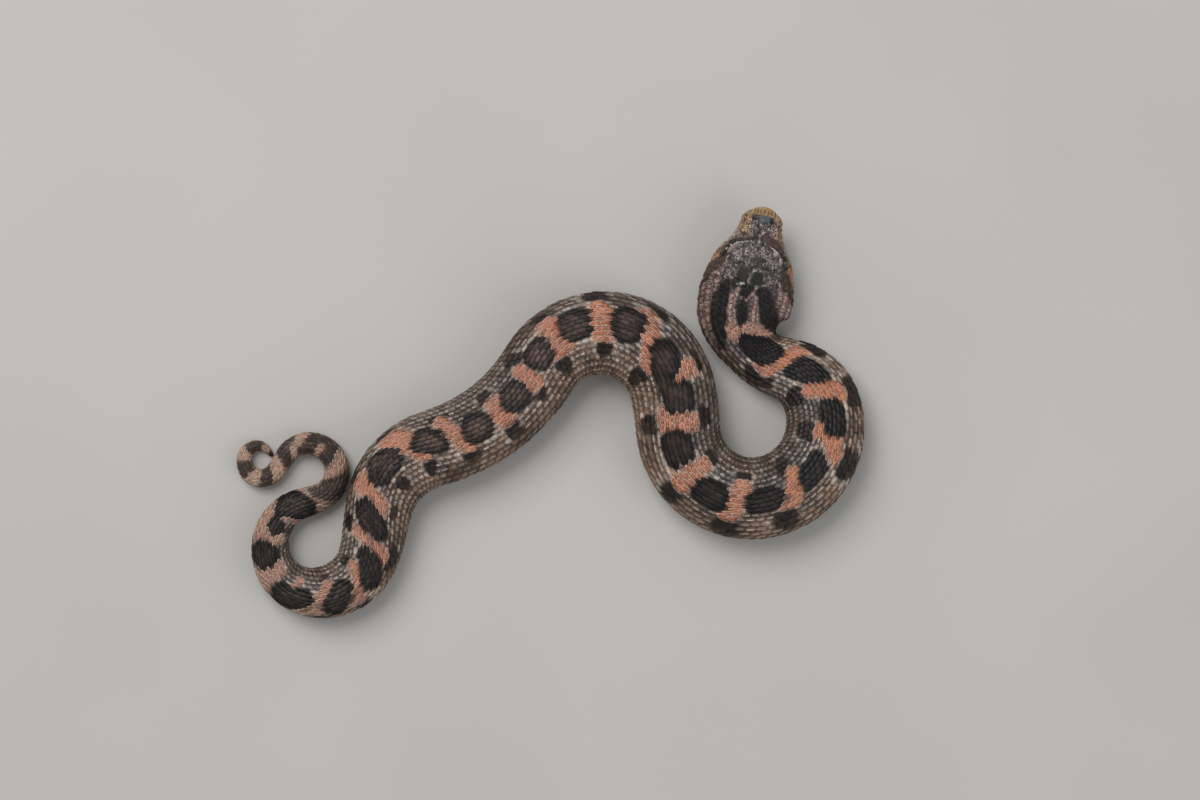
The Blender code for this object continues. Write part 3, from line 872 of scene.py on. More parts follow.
def stripe_depth(points, s, q):
    """How deep in a tapering stripe a point lies: 0 on its middle line, 1 at its edge."""
    nearest = np.full(np.shape(s), 99.0)
    for (s0, q0, w0), (s1, q1, w1) in zip(points, points[1:]):
        run = (s1 - s0) ** 2 + (q1 - q0) ** 2
        t = np.clip(((s - s0) * (s1 - s0) + (q - q0) * (q1 - q0)) / run, 0, 1)
        gap = np.hypot(s - s0 - t * (s1 - s0), q - q0 - t * (q1 - q0))
        nearest = np.minimum(nearest, gap / ((w0 + (w1 - w0) * t) / 2))
    return nearest


def head_ground(s, q, fine, outward):
    """Speckled grey crown, pinkish cheeks and spotted lips, before any mark."""
    colour = two_tone("crown", "crown_pale", smooth_step(fine, -0.1, 0.5), s.shape)
    colour = blend_in(colour, TINTS["crown_dark"], smooth_step(-fine, 0.22, 0.5) * 0.75)
    cheek = two_tone("cheek_pink", "mask", smooth_step(-fine, 0.1, 0.5) * 0.6, s.shape)
    colour = blend_in(colour, cheek, smooth_step(outward, 0.58, 0.72))
    lips = two_tone("lip", "lip_orange",
                    smooth_step(ripple(s / 1.5, q / 2.0, 11), -0.3, 0.4) * 0.6, s.shape)
    lips = blend_in(lips, TINTS["mask"], smooth_step(-fine, 0.15, 0.45) * 0.6)
    low = smooth_step(outward, 0.86, 0.94) * (1 - smooth_step(s, 15, 18))
    return blend_in(colour, lips, low)


def head_colour(s, q):
    """Colour of the head and nape at s, q."""
    fine = ripple(s / 0.35, q / 0.35, 7) * 0.6 + ripple(s / 0.8, q / 0.8, 8) * 0.4
    s = s + 0.16 * ripple(s / 0.8, q / 0.8, 9)
    q = q + 0.16 * ripple(s / 0.8, q / 0.8, 10)
    lip = half_breadth(s)
    outward = np.abs(q) / lip
    colour = head_ground(s, q, fine, outward)
    for name, strength, start, end, left, right in HEAD_PATCHES:
        depth = spot_depth((start, end, left, right), s, q, 3.2)
        colour = blend_in(colour, TINTS[name], (1 - smooth_step(depth, 0.82, 1.1)) * strength)
    for name, strength, points in HEAD_STRIPES:
        depth = stripe_depth(points, s, q)
        if name == "stripe":
            outline = (1 - smooth_step(depth, 1.10, 1.45)) * 0.85
            colour = blend_in(colour, TINTS["near_black"], outline)
        colour = blend_in(colour, TINTS[name], (1 - smooth_step(depth, 0.80, 1.15)) * strength)
    rays = smooth_step(np.cos(q * 8.6 + 1.5 * ripple(s, q, 12)), 0.25, 0.8)
    rays = rays * smooth_step(s, 0.5, 0.9) * (1 - smooth_step(s, 1.5, 2.1))
    colour = blend_in(colour, TINTS["near_black"], rays * 0.85 * (np.abs(q) < 0.8 * lip))
    throat = two_tone("belly", "belly_mark", smooth_step(fine, 0.2, 0.6) * 0.4, s.shape)
    return blend_in(colour, throat, smooth_step(outward, 1.12, 1.35))


def snake_colour(s, q):
    """Colour of any place on the snake, and how much of it is orange band."""
    s = np.asarray(s, float)
    q = np.asarray(q, float)
    body, banded = body_colour(s, q)
    head = head_colour(s, q)
    share = 1 - smooth_step(s + 0.5 * ripple(s, q, 13), 22.6, 24.2)
    colour = head * share[..., None] + body * (1 - share[..., None])
    banded = banded * (1 - share)
    for points in NAPE_BARS:
        depth = stripe_depth(points, s + 0.2 * ripple(s, q, 14), q + 0.2 * ripple(s, q, 15))
        inside = (1 - smooth_step(depth, 0.85, 1.1)) * 0.96
        colour = blend_in(colour, TINTS["near_black"], inside)
        banded = banded * (1 - inside)
    return colour, banded


crown_spot, _ = snake_colour([12.0], [0.0])
print("the middle of the crown:", np.round(crown_spot[0], 3).tolist())

# %% [markdown]
# ## The plates of the head
#
# Behind the snout a hognose has large smooth plates on top of the head, eight along
# each lip, a ring of small ones round the eye and small scales between. They could be
# separate shells, but real ones meet edge to edge in fine grooves, so here they are
# relief in the skin itself. Each plate is named by points inside it; every place
# belongs to the nearest point, and a groove runs where two plates meet.

# %% Points inside the plates of one side


def lip_arc(s):
    """Distance round from the crown to the lip at s."""
    return np.interp(s, STATIONS, WIDEST) * girth_at(s)


def eye_arc():
    """Distance round from the crown to the eye's middle."""
    share = ROUND[:len(ROUND) // 2 + 1]
    up = from_table(UP, np.full(len(share), EYE_AT[0]), share)
    return float(np.interp(-EYE_AT[2], -up, share)) * float(girth_at(EYE_AT[0]))


EYE_ARC = eye_arc()
CROWN_PLATES = (
    ((3.9, 0.0),), ((4.9, 0.45),), ((5.9, 0.0),), ((3.9, 1.3), (4.3, 1.9)),
    ((5.6, 1.7), (6.4, 1.4), (6.4, 2.4)), ((6.9, 0.3),),
    ((8.6, 0.0), (9.8, 0.0), (11.2, 0.0), (8.6, 1.5), (9.9, 1.3), (11.0, 0.9)),
    ((8.7, 3.7), (9.9, 3.9), (11.2, 3.8)),
    ((13.0, 1.5), (14.3, 1.5), (15.4, 1.2), (13.4, 2.9), (14.6, 2.6)),
)
CHEEK_SCALES = (
    (2.9, 2.9), (2.9, 4.4), (4.4, 3.4), (4.6, 4.7), (5.7, 3.5), (6.8, 4.2), (6.1, 4.7),
    (7.5, 5.4), (12.9, 4.7), (13.0, 6.2), (13.3, 7.8), (14.4, 4.9), (14.6, 6.5), (14.9, 8.2),
    (12.9, 9.3), (14.6, 9.8), (16.0, 3.4), (16.2, 5.0), (16.2, 6.7), (16.4, 8.4), (16.3, 10.2),
)
UPPER_LIP = (2.6, 3.8, 5.1, 6.5, 8.1, 9.9, 11.8, 13.7)
LOWER_LIP = (3.1, 4.2, 5.4, 6.7, 8.1, 9.6, 11.2, 12.8, 14.4)
CHIN_PLATES = (((3.2, 0.6),), ((5.2, 1.4), (6.8, 1.7)), ((9.0, 1.4), (10.6, 1.3)))
OTHER_SIDE = 100              # added to a plate's number for its twin on the left
CHEEK_NUMBER, THROAT_NUMBER = 200, 400


print("points inside the right side's cheek and lips:",
      len(CHEEK_SCALES) + len(UPPER_LIP) + len(LOWER_LIP))

# %% All the plates' points


def crown_points():
    """Points of the plates on top, repeated a little way over the middle line."""
    points = []
    for number, group in enumerate(CROWN_PLATES):
        crosses = any(arc == 0.0 for _, arc in group)
        for s, arc in group:
            points.append((s, arc, number))
            if arc > 0:
                points.append((s, -arc, number if crosses else number + OTHER_SIDE))
    return points


def ring_points(count, first, length, breadth, number, step):
    """Points on a ring round the eye; step is 1 where each is a scale of its own."""
    points = []
    for k in range(count):
        angle = math.tau * (k + first) / count
        points.append((EYE_AT[0] + length * math.cos(angle),
                       EYE_ARC + breadth * math.sin(angle), number + k * step))
    return points


def chin_points(number):
    """Points of the plates under the chin, repeated past the belly line."""
    points = []
    for group in CHIN_PLATES:
        for s, arc in group:
            middle = float(girth_at(s))
            points.append((s, middle - arc, number))
            points.append((s, middle + arc, number + OTHER_SIDE))
        number += 1
    return points


def throat_points():
    """Points of the small scales between the lower lip and the belly."""
    points = []
    for row in range(9):
        s = 12.4 + 0.475 * row
        for column in range(8):
            arc = float(girth_at(s)) - 0.9 - 1.25 * column - 0.6 * (row % 2)
            if arc > float(lip_arc(s)) + 1.7:
                points.append((s, arc, THROAT_NUMBER + row * 10 + column))
    return points


def plate_points():
    """Every point as along, round and the number of its plate, for the right side and
    far enough over the crown and the chin to close the plates there."""
    points = crown_points()
    number = CHEEK_NUMBER
    for s, arc in CHEEK_SCALES:
        points.append((s, arc, number))
        number += 1
    points += ring_points(10, 0.5, 2.25, 2.1, number, 1)
    number += 10
    points += ring_points(12, 0.0, 1.0, 1.0, number, 0)
    number += 1
    for row, offset in ((UPPER_LIP, -0.95), (LOWER_LIP, 0.85)):
        for s in row:
            points.append((s, float(lip_arc(s)) + offset, number))
            number += 1
    return np.array(points + chin_points(number) + throat_points())


PLATE_POINTS = plate_points()
print(len(set(PLATE_POINTS[:, 2])), "plates and head scales on one side")

# %% Distance to the nearest groove

AT_ONCE = 20000               # places worked out together, to spare memory


def groove_distance(s, arc):
    """Distance to the groove between the nearest plate and the next one."""
    place = np.stack([s, arc], -1).reshape(-1, 2)
    result = np.empty(len(place))
    for start in range(0, len(place), AT_ONCE):
        part = place[start:start + AT_ONCE]
        gap = np.hypot(part[:, None, 0] - PLATE_POINTS[None, :, 0],
                       part[:, None, 1] - PLATE_POINTS[None, :, 1])
        nearest = np.argmin(gap, 1)
        first = gap[np.arange(len(part)), nearest]
        other = PLATE_POINTS[None, :, 2] != PLATE_POINTS[nearest, 2][:, None]
        second = np.where(other, gap, 99.0).min(1)
        result[start:start + AT_ONCE] = (second - first) / 2
    return result.reshape(np.shape(s))


depths = groove_distance(np.array([9.9, 12.0]), np.array([1.3, 0.5]))
print("from the groove, inside a plate and near its edge:", np.round(depths, 2).tolist(), "mm")

# %% Relief of the head

GROOVE_DEPTH, PLATE_DOME = 0.18, 0.06
SLIT_DEPTH, LIP_SWELL, LIP_HOLLOW = 0.36, 0.10, 0.16
EYE_RIM, SOCKET_DEPTH = 0.14, 1.25
NOSTRIL_AT, NOSTRIL_DEPTH = (3.5, 4.0), 0.55


def coat_start(arc):
    """Where the rows of body scales begin: behind the plates on top, sooner below."""
    return 16.4 - 1.2 * smooth_step(arc, 3.5, 6.5) + 0.6 * smooth_step(arc, 8.5, 11.5)


def head_detail(s, turn):
    """Height of the skin over the sleeve: grooves, domes, brow, eye ring, mouth, and the
    painted shade in the grooves between the plates, the mouth slit, nostril and eye socket."""
    share, _ = fold(turn)
    arc = share * girth_at(s)
    wander_s = s + 0.10 * ripple(s / 0.9, turn * 30, 20)
    wander_a = arc + 0.10 * ripple(s / 0.9, turn * 30, 21)
    gap = groove_distance(wander_s, wander_a)
    start = coat_start(arc)
    on_head = smooth_step(s, 1.6, 2.4) * (1 - smooth_step(s, start, start + 0.9))
    groove = 1 - smooth_step(gap, 0.03, 0.17)
    relief = (-GROOVE_DEPTH * groove - PLATE_DOME * np.exp(-gap / 0.25)) * on_head
    mouth = (arc - lip_arc(s)) * on_head * smooth_step(s, 2.0, 2.8)
    closed = 1 - smooth_step(s, 14.2, 15.2)
    slit = np.exp(-((arc - lip_arc(s)) / 0.11) ** 2) * closed * on_head
    relief -= SLIT_DEPTH * slit
    relief += LIP_SWELL * np.exp(-((mouth + 0.5) / 0.35) ** 2) * closed * on_head
    relief -= LIP_HOLLOW * np.exp(-((mouth - 0.45) / 0.35) ** 2) * closed * on_head
    ring = np.hypot(s - EYE_AT[0], (arc - EYE_ARC) * 1.05)
    relief += EYE_RIM * np.exp(-((ring - 1.62) / 0.22) ** 2)
    relief -= SOCKET_DEPTH * (1 - smooth_step(ring, 1.20, 1.50))
    behind = s - NOSTRIL_AT[0]
    nostril = np.hypot(behind / 0.42, (arc - NOSTRIL_AT[1] - 0.5 * behind) / 0.26)
    hole = 1 - smooth_step(nostril, 0.55, 1.15)
    relief -= NOSTRIL_DEPTH * hole
    # painted shade: the grooves, the nostril, the mouth slit and the eye socket are darkened as
    # if in shade
    shade = np.maximum(0.55 * (1 - smooth_step(gap, 0.05, 0.22)) * on_head, 0.9 * hole)
    shade = np.maximum(shade, 0.85 * slit)
    return relief, np.maximum(shade, 0.9 * (1 - smooth_step(ring, 1.35, 1.75)))


print("eye lies", round(EYE_ARC, 2), "mm round from the crown")

# %% [markdown]
# ## The skin
#
# One closed skin covers the snake from snout to tail. It could be lofted ring by ring,
# but a grid primitive already has the faces and the flat unwrap that such a sleeve
# needs, so it is added flat, its corners are laid on the sleeve, its two long edges are
# merged under the belly, and its ends are closed. On the body it lies a little inside
# the solids, by the depth of the scales; on the head it is the surface itself.

# %% How high the skin lies

COAT_DEPTH = 0.30             # how deep in the solids the skin lies under the scales
COAT_THINS = ((240, 279), (1.0, 0.45))
SHIELD_LENGTH = 3.05          # of the snout shield, on top
SHIELD_SHORTER = 1.25         # by how much it is shorter at the lip
SHIELD_TUCK = 0.34            # how deep the skin goes under it
SNOUT_TUCK = 0.14             # share by which the skin's end is drawn in there


def skin_stations():
    """Distances along the snake: close together on the head, wider on the body."""
    head = np.arange(1.3, 17.2, 0.16)
    neck = np.arange(17.4, 30, 0.6)
    body = np.arange(30.8, 215, 1.75)
    tail = np.arange(216, 277.5, 1.05)
    return np.concatenate([head, neck, body, tail, [277.8, 278.4, 278.8, TAIL_END]])


def shield_back(turn):
    """Where the snout shield ends: furthest back on top, less far towards the lip."""
    share, _ = fold(turn)
    return SHIELD_LENGTH - SHIELD_SHORTER * smooth_step(share, 0.05, 0.42)


def skin_lift(s, turn):
    """How far the skin lies above (or below) the sleeve."""
    share, _ = fold(turn)
    start = coat_start(share * girth_at(s))
    depth = COAT_DEPTH * smooth_step(s, start - 0.2, start + 0.7)
    thin = np.interp(s, *COAT_THINS)
    back = shield_back(turn)
    under_shield = SHIELD_TUCK * (1 - smooth_step(s, back - 0.25, back))
    return head_detail(s, turn)[0] - depth * thin - under_shield


def snout_core(s):
    """The middle of the snout at s, which the skin draws in to under the shield."""
    x, y = (np.interp(s, LINE[0], row) for row in LINE[1:3])
    return np.stack([x, y, np.full(len(s), EYE_AT[2])], -1)


print("skin rings:", len(skin_stations()), "and its depth under the back's scales:",
      round(-float(skin_lift(np.array([100.0]), np.array([0.0]))[0]), 2), "mm")

# %% Reading and writing a mesh


def corner_places(mesh):
    """The places of a mesh's corners, one row for each."""
    places = np.empty(len(mesh.vertices) * 3)
    mesh.vertices.foreach_get("co", places)
    return places.reshape(-1, 3)


def move_corners(mesh, places):
    """Puts a mesh's corners at places given in millimetres."""
    mesh.vertices.foreach_set("co", (places * MM).ravel())


def colour_layer(mesh, name, colours):
    """Gives a mesh one colour for each corner."""
    layer = mesh.color_attributes.new(name, "FLOAT_COLOR", "POINT")
    values = np.concatenate([colours, np.ones((len(colours), 1))], 1)
    layer.data.foreach_set("color", values.astype(np.float32).ravel())


def number_layer(mesh, name, values):
    """Gives a mesh one number for each corner."""
    layer = mesh.attributes.new(name, "FLOAT", "POINT")
    layer.data.foreach_set("value", np.asarray(values, np.float32))


def close_and_turn_out():
    """In edit mode: closes the open edges that are selected, and turns faces outwards."""
    bpy.ops.mesh.fill_holes(sides=0)
    bpy.ops.mesh.select_all(action="SELECT")
    bpy.ops.mesh.normals_make_consistent(inside=False)
    bpy.ops.object.mode_set(mode="OBJECT")
    bpy.ops.object.shade_smooth()


print("the floor read back:", corner_places(floor.data).round(2).tolist())

# %% Laying a grid on the sleeve

AROUND = 288                  # faces round the snake
SKIN_LOWEST = 0.12


def make_skin():
    """The skin as one closed mesh."""
    stations = skin_stations()
    bpy.ops.mesh.primitive_grid_add(x_subdivisions=len(stations) - 1, y_subdivisions=AROUND,
                                    size=1, calc_uvs=True)
    skin = bpy.context.object
    skin.name = "skin"
    skin.data.uv_layers[0].name = "OFBake"
    flat = corner_places(skin.data)
    s = np.interp(flat[:, 0] + 0.5, np.linspace(0, 1, len(stations)), stations)
    turn = (flat[:, 1] + 0.5) * 2 - 1
    places = on_sleeve(s, turn, skin_lift(s, turn))
    tucked = SNOUT_TUCK * (1 - smooth_step(s, 1.5, 1.9))[:, None]
    places = places * (1 - tucked) + snout_core(s) * tucked
    places[:, 2] = np.maximum(places[:, 2], SKIN_LOWEST)
    move_corners(skin.data, places)
    paint_skin(skin.data, s, turn)
    bpy.ops.object.mode_set(mode="EDIT")
    bpy.ops.mesh.select_all(action="SELECT")
    bpy.ops.mesh.remove_doubles(threshold=1e-6)
    bpy.ops.mesh.select_all(action="DESELECT")
    bpy.ops.mesh.select_non_manifold(extend=False)
    close_and_turn_out()
    return skin


def paint_skin(mesh, s, turn):
    """Marks on the skin with the head's painted shade, and where its pale net, its dark
    specks and its bare head lie.
    """
    seen = seen_out(s, turn)
    colours, _ = snake_colour(s, seen)
    net = smooth_step(colours.mean(1), 0.032, 0.075)
    side = smooth_step(np.abs(seen) / half_breadth(s), 0.66, 0.90)
    number_layer(mesh, "Net", net * (1 - 0.75 * side))
    number_layer(mesh, "Pepper", net * (0.25 + 0.75 * side))
    # the head's painted shade is laid over the marks here
    shade = head_detail(s, turn)[1]
    colour_layer(mesh, "Marks", blend_in(colours, TINTS["near_black"], shade))
    start = coat_start(np.abs(turn) * girth_at(s))
    number_layer(mesh, "Bare", 1 - smooth_step(s, start, start + 0.6))


skin = make_skin()
print("skin:", len(skin.data.polygons), "faces, unwrap", skin.data.uv_layers[0].name)
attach(skin, "root")
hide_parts("head", "lower_jaw", "neck", *[f"trunk_{k}" for k in range(1, 9)],
            *[f"tail_{k}" for k in range(1, 4)])
bpy.ops.object.select_all(action="DESELECT")

# %% [markdown]
# ## The finish of the skin
#
# Snake skin is dry and softly glossy, a little duller between the scales. The colour
# comes from the marks that the mesh carries; fine noise breaks it up at the size of
# the specks that real skin has. On the bare head the tone stays as it is, and under
# the coat it is darkened, because what shows between scales lies in their shade.

# %% Skin material


def skin_finish(name):
    """Marks from the mesh, fine specks, and relief too small to model."""
    made = Network(name)
    plain = made.attribute("Marks").outputs["Color"]
    net = made.attribute("Net").outputs["Fac"]
    edge = made.cells(1900.0, "DISTANCE_TO_EDGE", made.warped(1300.0, 0.0009))
    broken = made.between(made.noise(1100.0, 2.0), 0.36, 0.58)
    thread = made.sum("MULTIPLY", made.sum("SUBTRACT", 1.0, made.between(edge, 0.04, 0.20)),
                      broken)
    hollow = made.mix(1.0, plain, (0.40, 0.35, 0.35, 1), "MULTIPLY")
    double = made.mix(1.0, plain, plain, "ADD")
    pale = made.mix(0.32, double, (*linear(214, 200, 194), 1))
    netted = made.mix(net, plain, made.mix(thread, hollow, pale))
    pepper = made.attribute("Pepper").outputs["Fac"]
    dot = made.between(made.cells(1700.0, "F1", made.warped(2600.0, 0.0005)), 0.42, 0.20)
    marks = made.mix(made.sum("MULTIPLY", made.sum("MULTIPLY", dot, pepper), 0.8), netted,
                     made.mix(1.0, netted, (0.22, 0.17, 0.15, 1), "MULTIPLY"))
    bare = made.attribute("Bare").outputs["Fac"]
    speck = made.noise(2600.0, 2.0)
    fine = made.noise(7000.0, 2.0)
    deep = made.mix(0.45, marks, (*linear(58, 48, 44), 1))
    shaded = made.mix(bare, deep, marks)
    darker = made.mix(made.between(speck, 0.50, 0.66), shaded,
                      made.mix(1.0, shaded, (0.42, 0.38, 0.36, 1), "MULTIPLY"))
    lighter = made.mix(made.sum("MULTIPLY", made.between(fine, 0.60, 0.75), 0.35), darker,
                       (*linear(196, 184, 172), 1))
    made.bump(made.sum("ADD", speck, made.sum("MULTIPLY", fine, 0.5)), 0.00006, 0.5)
    rough = made.sum("MULTIPLY_ADD", speck, 0.14, 0.42)
    return made.finish(lighter, rough, Specular_IOR_Level=0.4)


skin.data.materials.clear()
skin.data.materials.append(skin_finish("skin"))
print("skin finish:", len(skin.data.materials[0].node_tree.nodes), "nodes")

# %% [markdown]
# ## The snout shield
#
# The upturned shield on the snout is what gives the hognose its name: it digs with it.
# It is one thick, hard plate with a rounded front rim and a low ridge along its top.
# It could be a block that is bevelled, but its back edge has to follow the snout, so a
# flat grid is added instead. One way it runs from the front rim to the back edge, the
# other way over the snout and back underneath, and its corners are laid on the sleeve
# ahead of the line where the shield ends. Its back edge is then extruded inwards and
# closed. It overlaps the skin a little, so no gap shows behind it.

# %% The shape of the shield

UNDER_SHARE = 0.30            # how much of the way round is its underside
UNDER_LENGTH = 1.80
UNDER_BULGE = 0.42            # how far the underside hangs below the lip
RIM_HEIGHT = 9.25             # where the front rim closes in to


def shield_point(v, around):
    """A point of the shield: v from the front rim (0) to the back edge (1), around from
    0 at the right lip over the top to 1 at the left lip and on through the underside."""
    over = 1 - 2 * np.clip(around / (1 - UNDER_SHARE), 0, 1)
    under = np.clip((around - (1 - UNDER_SHARE)) / UNDER_SHARE, 0, 1)
    lower = around > 1 - UNDER_SHARE
    lip_share = np.interp(1.0, STATIONS, WIDEST)
    s = v * np.where(lower, UNDER_LENGTH, shield_back(over * lip_share))
    widest = np.interp(s, STATIONS, WIDEST)
    share, side = fold(over * widest)
    lip = from_table(OUT, s, widest)
    lip_up = from_table(UP, s, widest)
    crosswise = 2 * under - 1
    rounding = np.maximum(1 - crosswise ** 2, 0) ** 0.6
    bulge = UNDER_BULGE * rounding * np.sin(math.pi * v) ** 0.7
    up = np.where(lower, lip_up - bulge, from_table(UP, s, share))
    out = np.where(lower, lip * crosswise, from_table(OUT, s, share) * side)
    nose = np.sqrt(np.clip(1 - ((0.3 - np.minimum(s, 0.3)) / 0.3) ** 2, 0, 1))
    ridge = np.exp(-(out / 0.30) ** 2) * smooth_step(v, 0.16, 0.45)
    dish = np.exp(-((np.abs(out) - 1.1) / 0.5) ** 2) * smooth_step(v, 0.2, 0.6)
    rim = np.exp(-((s - 0.75) / 0.3) ** 2)
    proud = np.where(lower, 0.0, 0.05 + 0.15 * ridge - 0.10 * dish + 0.05 * rim)
    proud = proud * (1 - smooth_step(np.abs(over), 0.88, 1.0))
    out = out * nose
    up = RIM_HEIGHT + (up - RIM_HEIGHT + proud) * nose
    s = s + 0.10 + 0.10 * np.minimum(out ** 2, 9) * (1 - v) ** 2
    return s, out, up, lower


back_edge = shield_point(np.ones(3), np.array([0.0, 0.35, 0.7]))
print("its back edge at the right lip, on top and at the left lip lies",
      np.round(back_edge[0], 2).tolist(), "mm along")

# %% Modelling the shield

SHIELD_RINGS = 26
SHIELD_ROUND = 72
BACK_LIP = 0.15               # how far the back edge is extruded
BACK_CLOSING = 0.90           # and how much that edge is drawn together


def make_shield():
    """The snout shield, with its rings closest together at the front rim."""
    bpy.ops.mesh.primitive_grid_add(x_subdivisions=SHIELD_RINGS, y_subdivisions=SHIELD_ROUND,
                                    size=1, calc_uvs=True)
    shield = bpy.context.object
    shield.name = "snout_plate"
    mesh = shield.data
    flat = corner_places(mesh)
    v = (flat[:, 0] + 0.5) ** 1.25
    s, out, up, lower = shield_point(v, flat[:, 1] + 0.5)
    move_corners(mesh, place_mm(s, out, up))
    paint_shield(mesh, v, s, out, lower)
    bpy.ops.object.mode_set(mode="EDIT")
    bpy.ops.mesh.select_all(action="SELECT")
    bpy.ops.mesh.remove_doubles(threshold=2e-6)
    bpy.ops.mesh.select_all(action="DESELECT")
    bpy.ops.mesh.select_mode(type="EDGE")
    bpy.ops.mesh.select_non_manifold(extend=False)
    bpy.ops.mesh.extrude_edges_move(TRANSFORM_OT_translate={"value": (0, 0, -BACK_LIP * MM)})
    bpy.ops.transform.resize(value=(BACK_CLOSING, BACK_CLOSING, BACK_CLOSING))
    close_and_turn_out()
    mesh.validate()
    return shield


def paint_shield(mesh, v, s, out, lower):
    """The snout's own marks on top; underneath pale horn, with a dark seam at its edge."""
    colours, _ = snake_colour(s, out)
    edge = np.abs(out) / half_breadth(s) + 0.45 * v
    colours = blend_in(colours, TINTS["snout_pale"], lower * 0.9)
    colours = blend_in(colours, TINTS["lip"], lower * smooth_step(edge, 0.93, 1.0))
    seam = np.exp(-((edge - 0.94) / 0.035) ** 2) * lower
    colour_layer(mesh, "Marks", blend_in(colours, TINTS["mask"], seam * 0.8))


shield = make_shield()
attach(shield, "root")
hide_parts("snout_shield")
bpy.ops.object.select_all(action="DESELECT")
print("snout shield:", len(shield.data.polygons), "faces")

# %% Horn material


def horn_finish(name):
    """Smooth horn with the marks of the snout, scratched a little by digging."""
    made = Network(name)
    marks = made.attribute("Marks").outputs["Color"]
    speck = made.noise(3000.0, 3.0)
    cloud = made.noise(1800.0, 2.0)
    worn = made.mix(made.sum("MULTIPLY", made.between(cloud, 0.5, 0.7), 0.22), marks,
                    (*linear(178, 160, 138), 1))
    dark = made.mix(made.sum("MULTIPLY", made.between(speck, 0.56, 0.68), 0.35), worn,
                    made.mix(1.0, worn, (0.42, 0.37, 0.33, 1), "MULTIPLY"))
    made.bump(speck, 0.00004, 0.4)
    rough = made.sum("MULTIPLY_ADD", speck, 0.15, 0.32)
    return made.finish(dark, rough, Specular_IOR_Level=0.5)


shield.data.materials.append(horn_finish("snout_horn"))
print("horn finish made")

# %% [markdown]
# ## The eyes
#
# A snake has no eyelids: a clear scale covers each eye, so the eye is a glossy dome.
# The pupil is round, the iris dark brown with a paler gold ring round the pupil. Each
# eye is a sphere turned so that its pole looks out and a little forward, the front is
# pushed out to the clear dome, and each point keeps its angle from the pole, from
# which the material makes pupil and iris.

# %% Modelling the eyes

EYE_DOME = 0.035              # how far the clear front stands out, as a share of the radius
LOOK_AHEAD, LOOK_UP = 0.22, 0.20


def make_eye(name, side):
    """One eye, looking out from its side of the head."""
    bpy.ops.mesh.primitive_uv_sphere_add(segments=48, ring_count=32, radius=1, location=(0, 0, 0))
    eye = bpy.context.object
    eye.name = name
    mesh = eye.data
    mesh.uv_layers[0].name = "OFBake"
    points = corner_places(mesh)
    ring = np.degrees(np.arccos(np.clip(points[:, 2], -1, 1))) / 90
    points = points * (1 + EYE_DOME * (1 - smooth_step(ring, 0.30, 0.62)))[:, None]
    angle = np.interp(EYE_AT[0], LINE[0], LINE[3])
    ahead = -np.array([math.cos(angle), math.sin(angle), 0])
    outward = side * np.array([-math.sin(angle), math.cos(angle), 0])
    look = outward + LOOK_AHEAD * ahead + LOOK_UP * np.array([0, 0, 1])
    look /= np.linalg.norm(look)
    aside = np.cross([0, 0, 1], look)
    aside /= np.linalg.norm(aside)
    turned = points @ np.array([aside, np.cross(look, aside), look])
    middle = place_mm(EYE_AT[0], side * EYE_AT[1], EYE_AT[2])
    move_corners(mesh, middle + turned * EYE_RADIUS)
    number_layer(mesh, "Ring", ring)
    mesh.update()
    bpy.ops.object.shade_smooth()
    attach(eye, "root")
    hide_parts(name.replace("ball", "eye"))
    bpy.ops.object.select_all(action="DESELECT")
    return eye


eyes = [make_eye("ball_left", -1), make_eye("ball_right", 1)]
print("eyes:", [eye.name for eye in eyes], len(eyes[0].data.polygons), "faces each")

# %% Eye material


def eye_finish(name):
    """Round pupil, a thin gold ring, a streaked brown iris, and a clear wet coat."""
    made = Network(name)
    ring = made.attribute("Ring").outputs["Fac"]
    streak = made.noise(4200.0, 3.0)
    uneven = made.sum("ADD", ring, made.sum("MULTIPLY_ADD", streak, 0.05, -0.025))
    iris = made.mix(made.between(streak, 0.40, 0.65), (*linear(30, 20, 14), 1),
                    (*linear(84, 58, 34), 1))
    darker = made.mix(made.between(uneven, 0.50, 0.66), iris, (*linear(14, 10, 9), 1))
    gold = made.mix(made.between(uneven, 0.345, 0.41), (*linear(122, 90, 48), 1), darker)
    pupil = made.mix(made.between(uneven, 0.31, 0.335), (0.002, 0.002, 0.003, 1), gold)
    return made.finish(pupil, made.sum("MULTIPLY_ADD", ring, 0.05, 0.10),
                       Coat_Weight=1.0, Coat_Roughness=0.03, Specular_IOR_Level=0.08)


eye_material = eye_finish("eye_glass")
for eye in eyes:
    eye.data.materials.append(eye_material)
print("eye finish made")

# %% [markdown]
# ## One scale
#
# The scales of a hognose are keeled: each is a small leaf with a ridge down its
# middle, rooted at the head's end and free at its tip, where it lies over the next.
# One scale is modelled from a small grid, with few faces, because there will
# be thousands: its rows are drawn in to a leaf, its middle is lifted to a keel, and
# its rim is extruded down and closed so that it is a solid plate.

# %% Modelling the scale

LEAF_ALONG = (0.0, 0.20, 0.42, 0.64, 0.84, 1.0)
LEAF_WIDTH = (0.36, 0.53, 0.58, 0.51, 0.35, 0.11)
LEAF_RISE = (0.00, 0.05, 0.10, 0.15, 0.18, 0.17)
LEAF_ACROSS = (-1.0, -0.66, -0.22, 0.0, 0.22, 0.66, 1.0)
KEEL_HEIGHT = (0.0, 0.05, 0.08, 0.09, 0.08, 0.03)
KEEL_REACH = 0.23             # how far to each side the keel slopes off
LEAF_DOME = 0.05
LEAF_THICK = 0.13


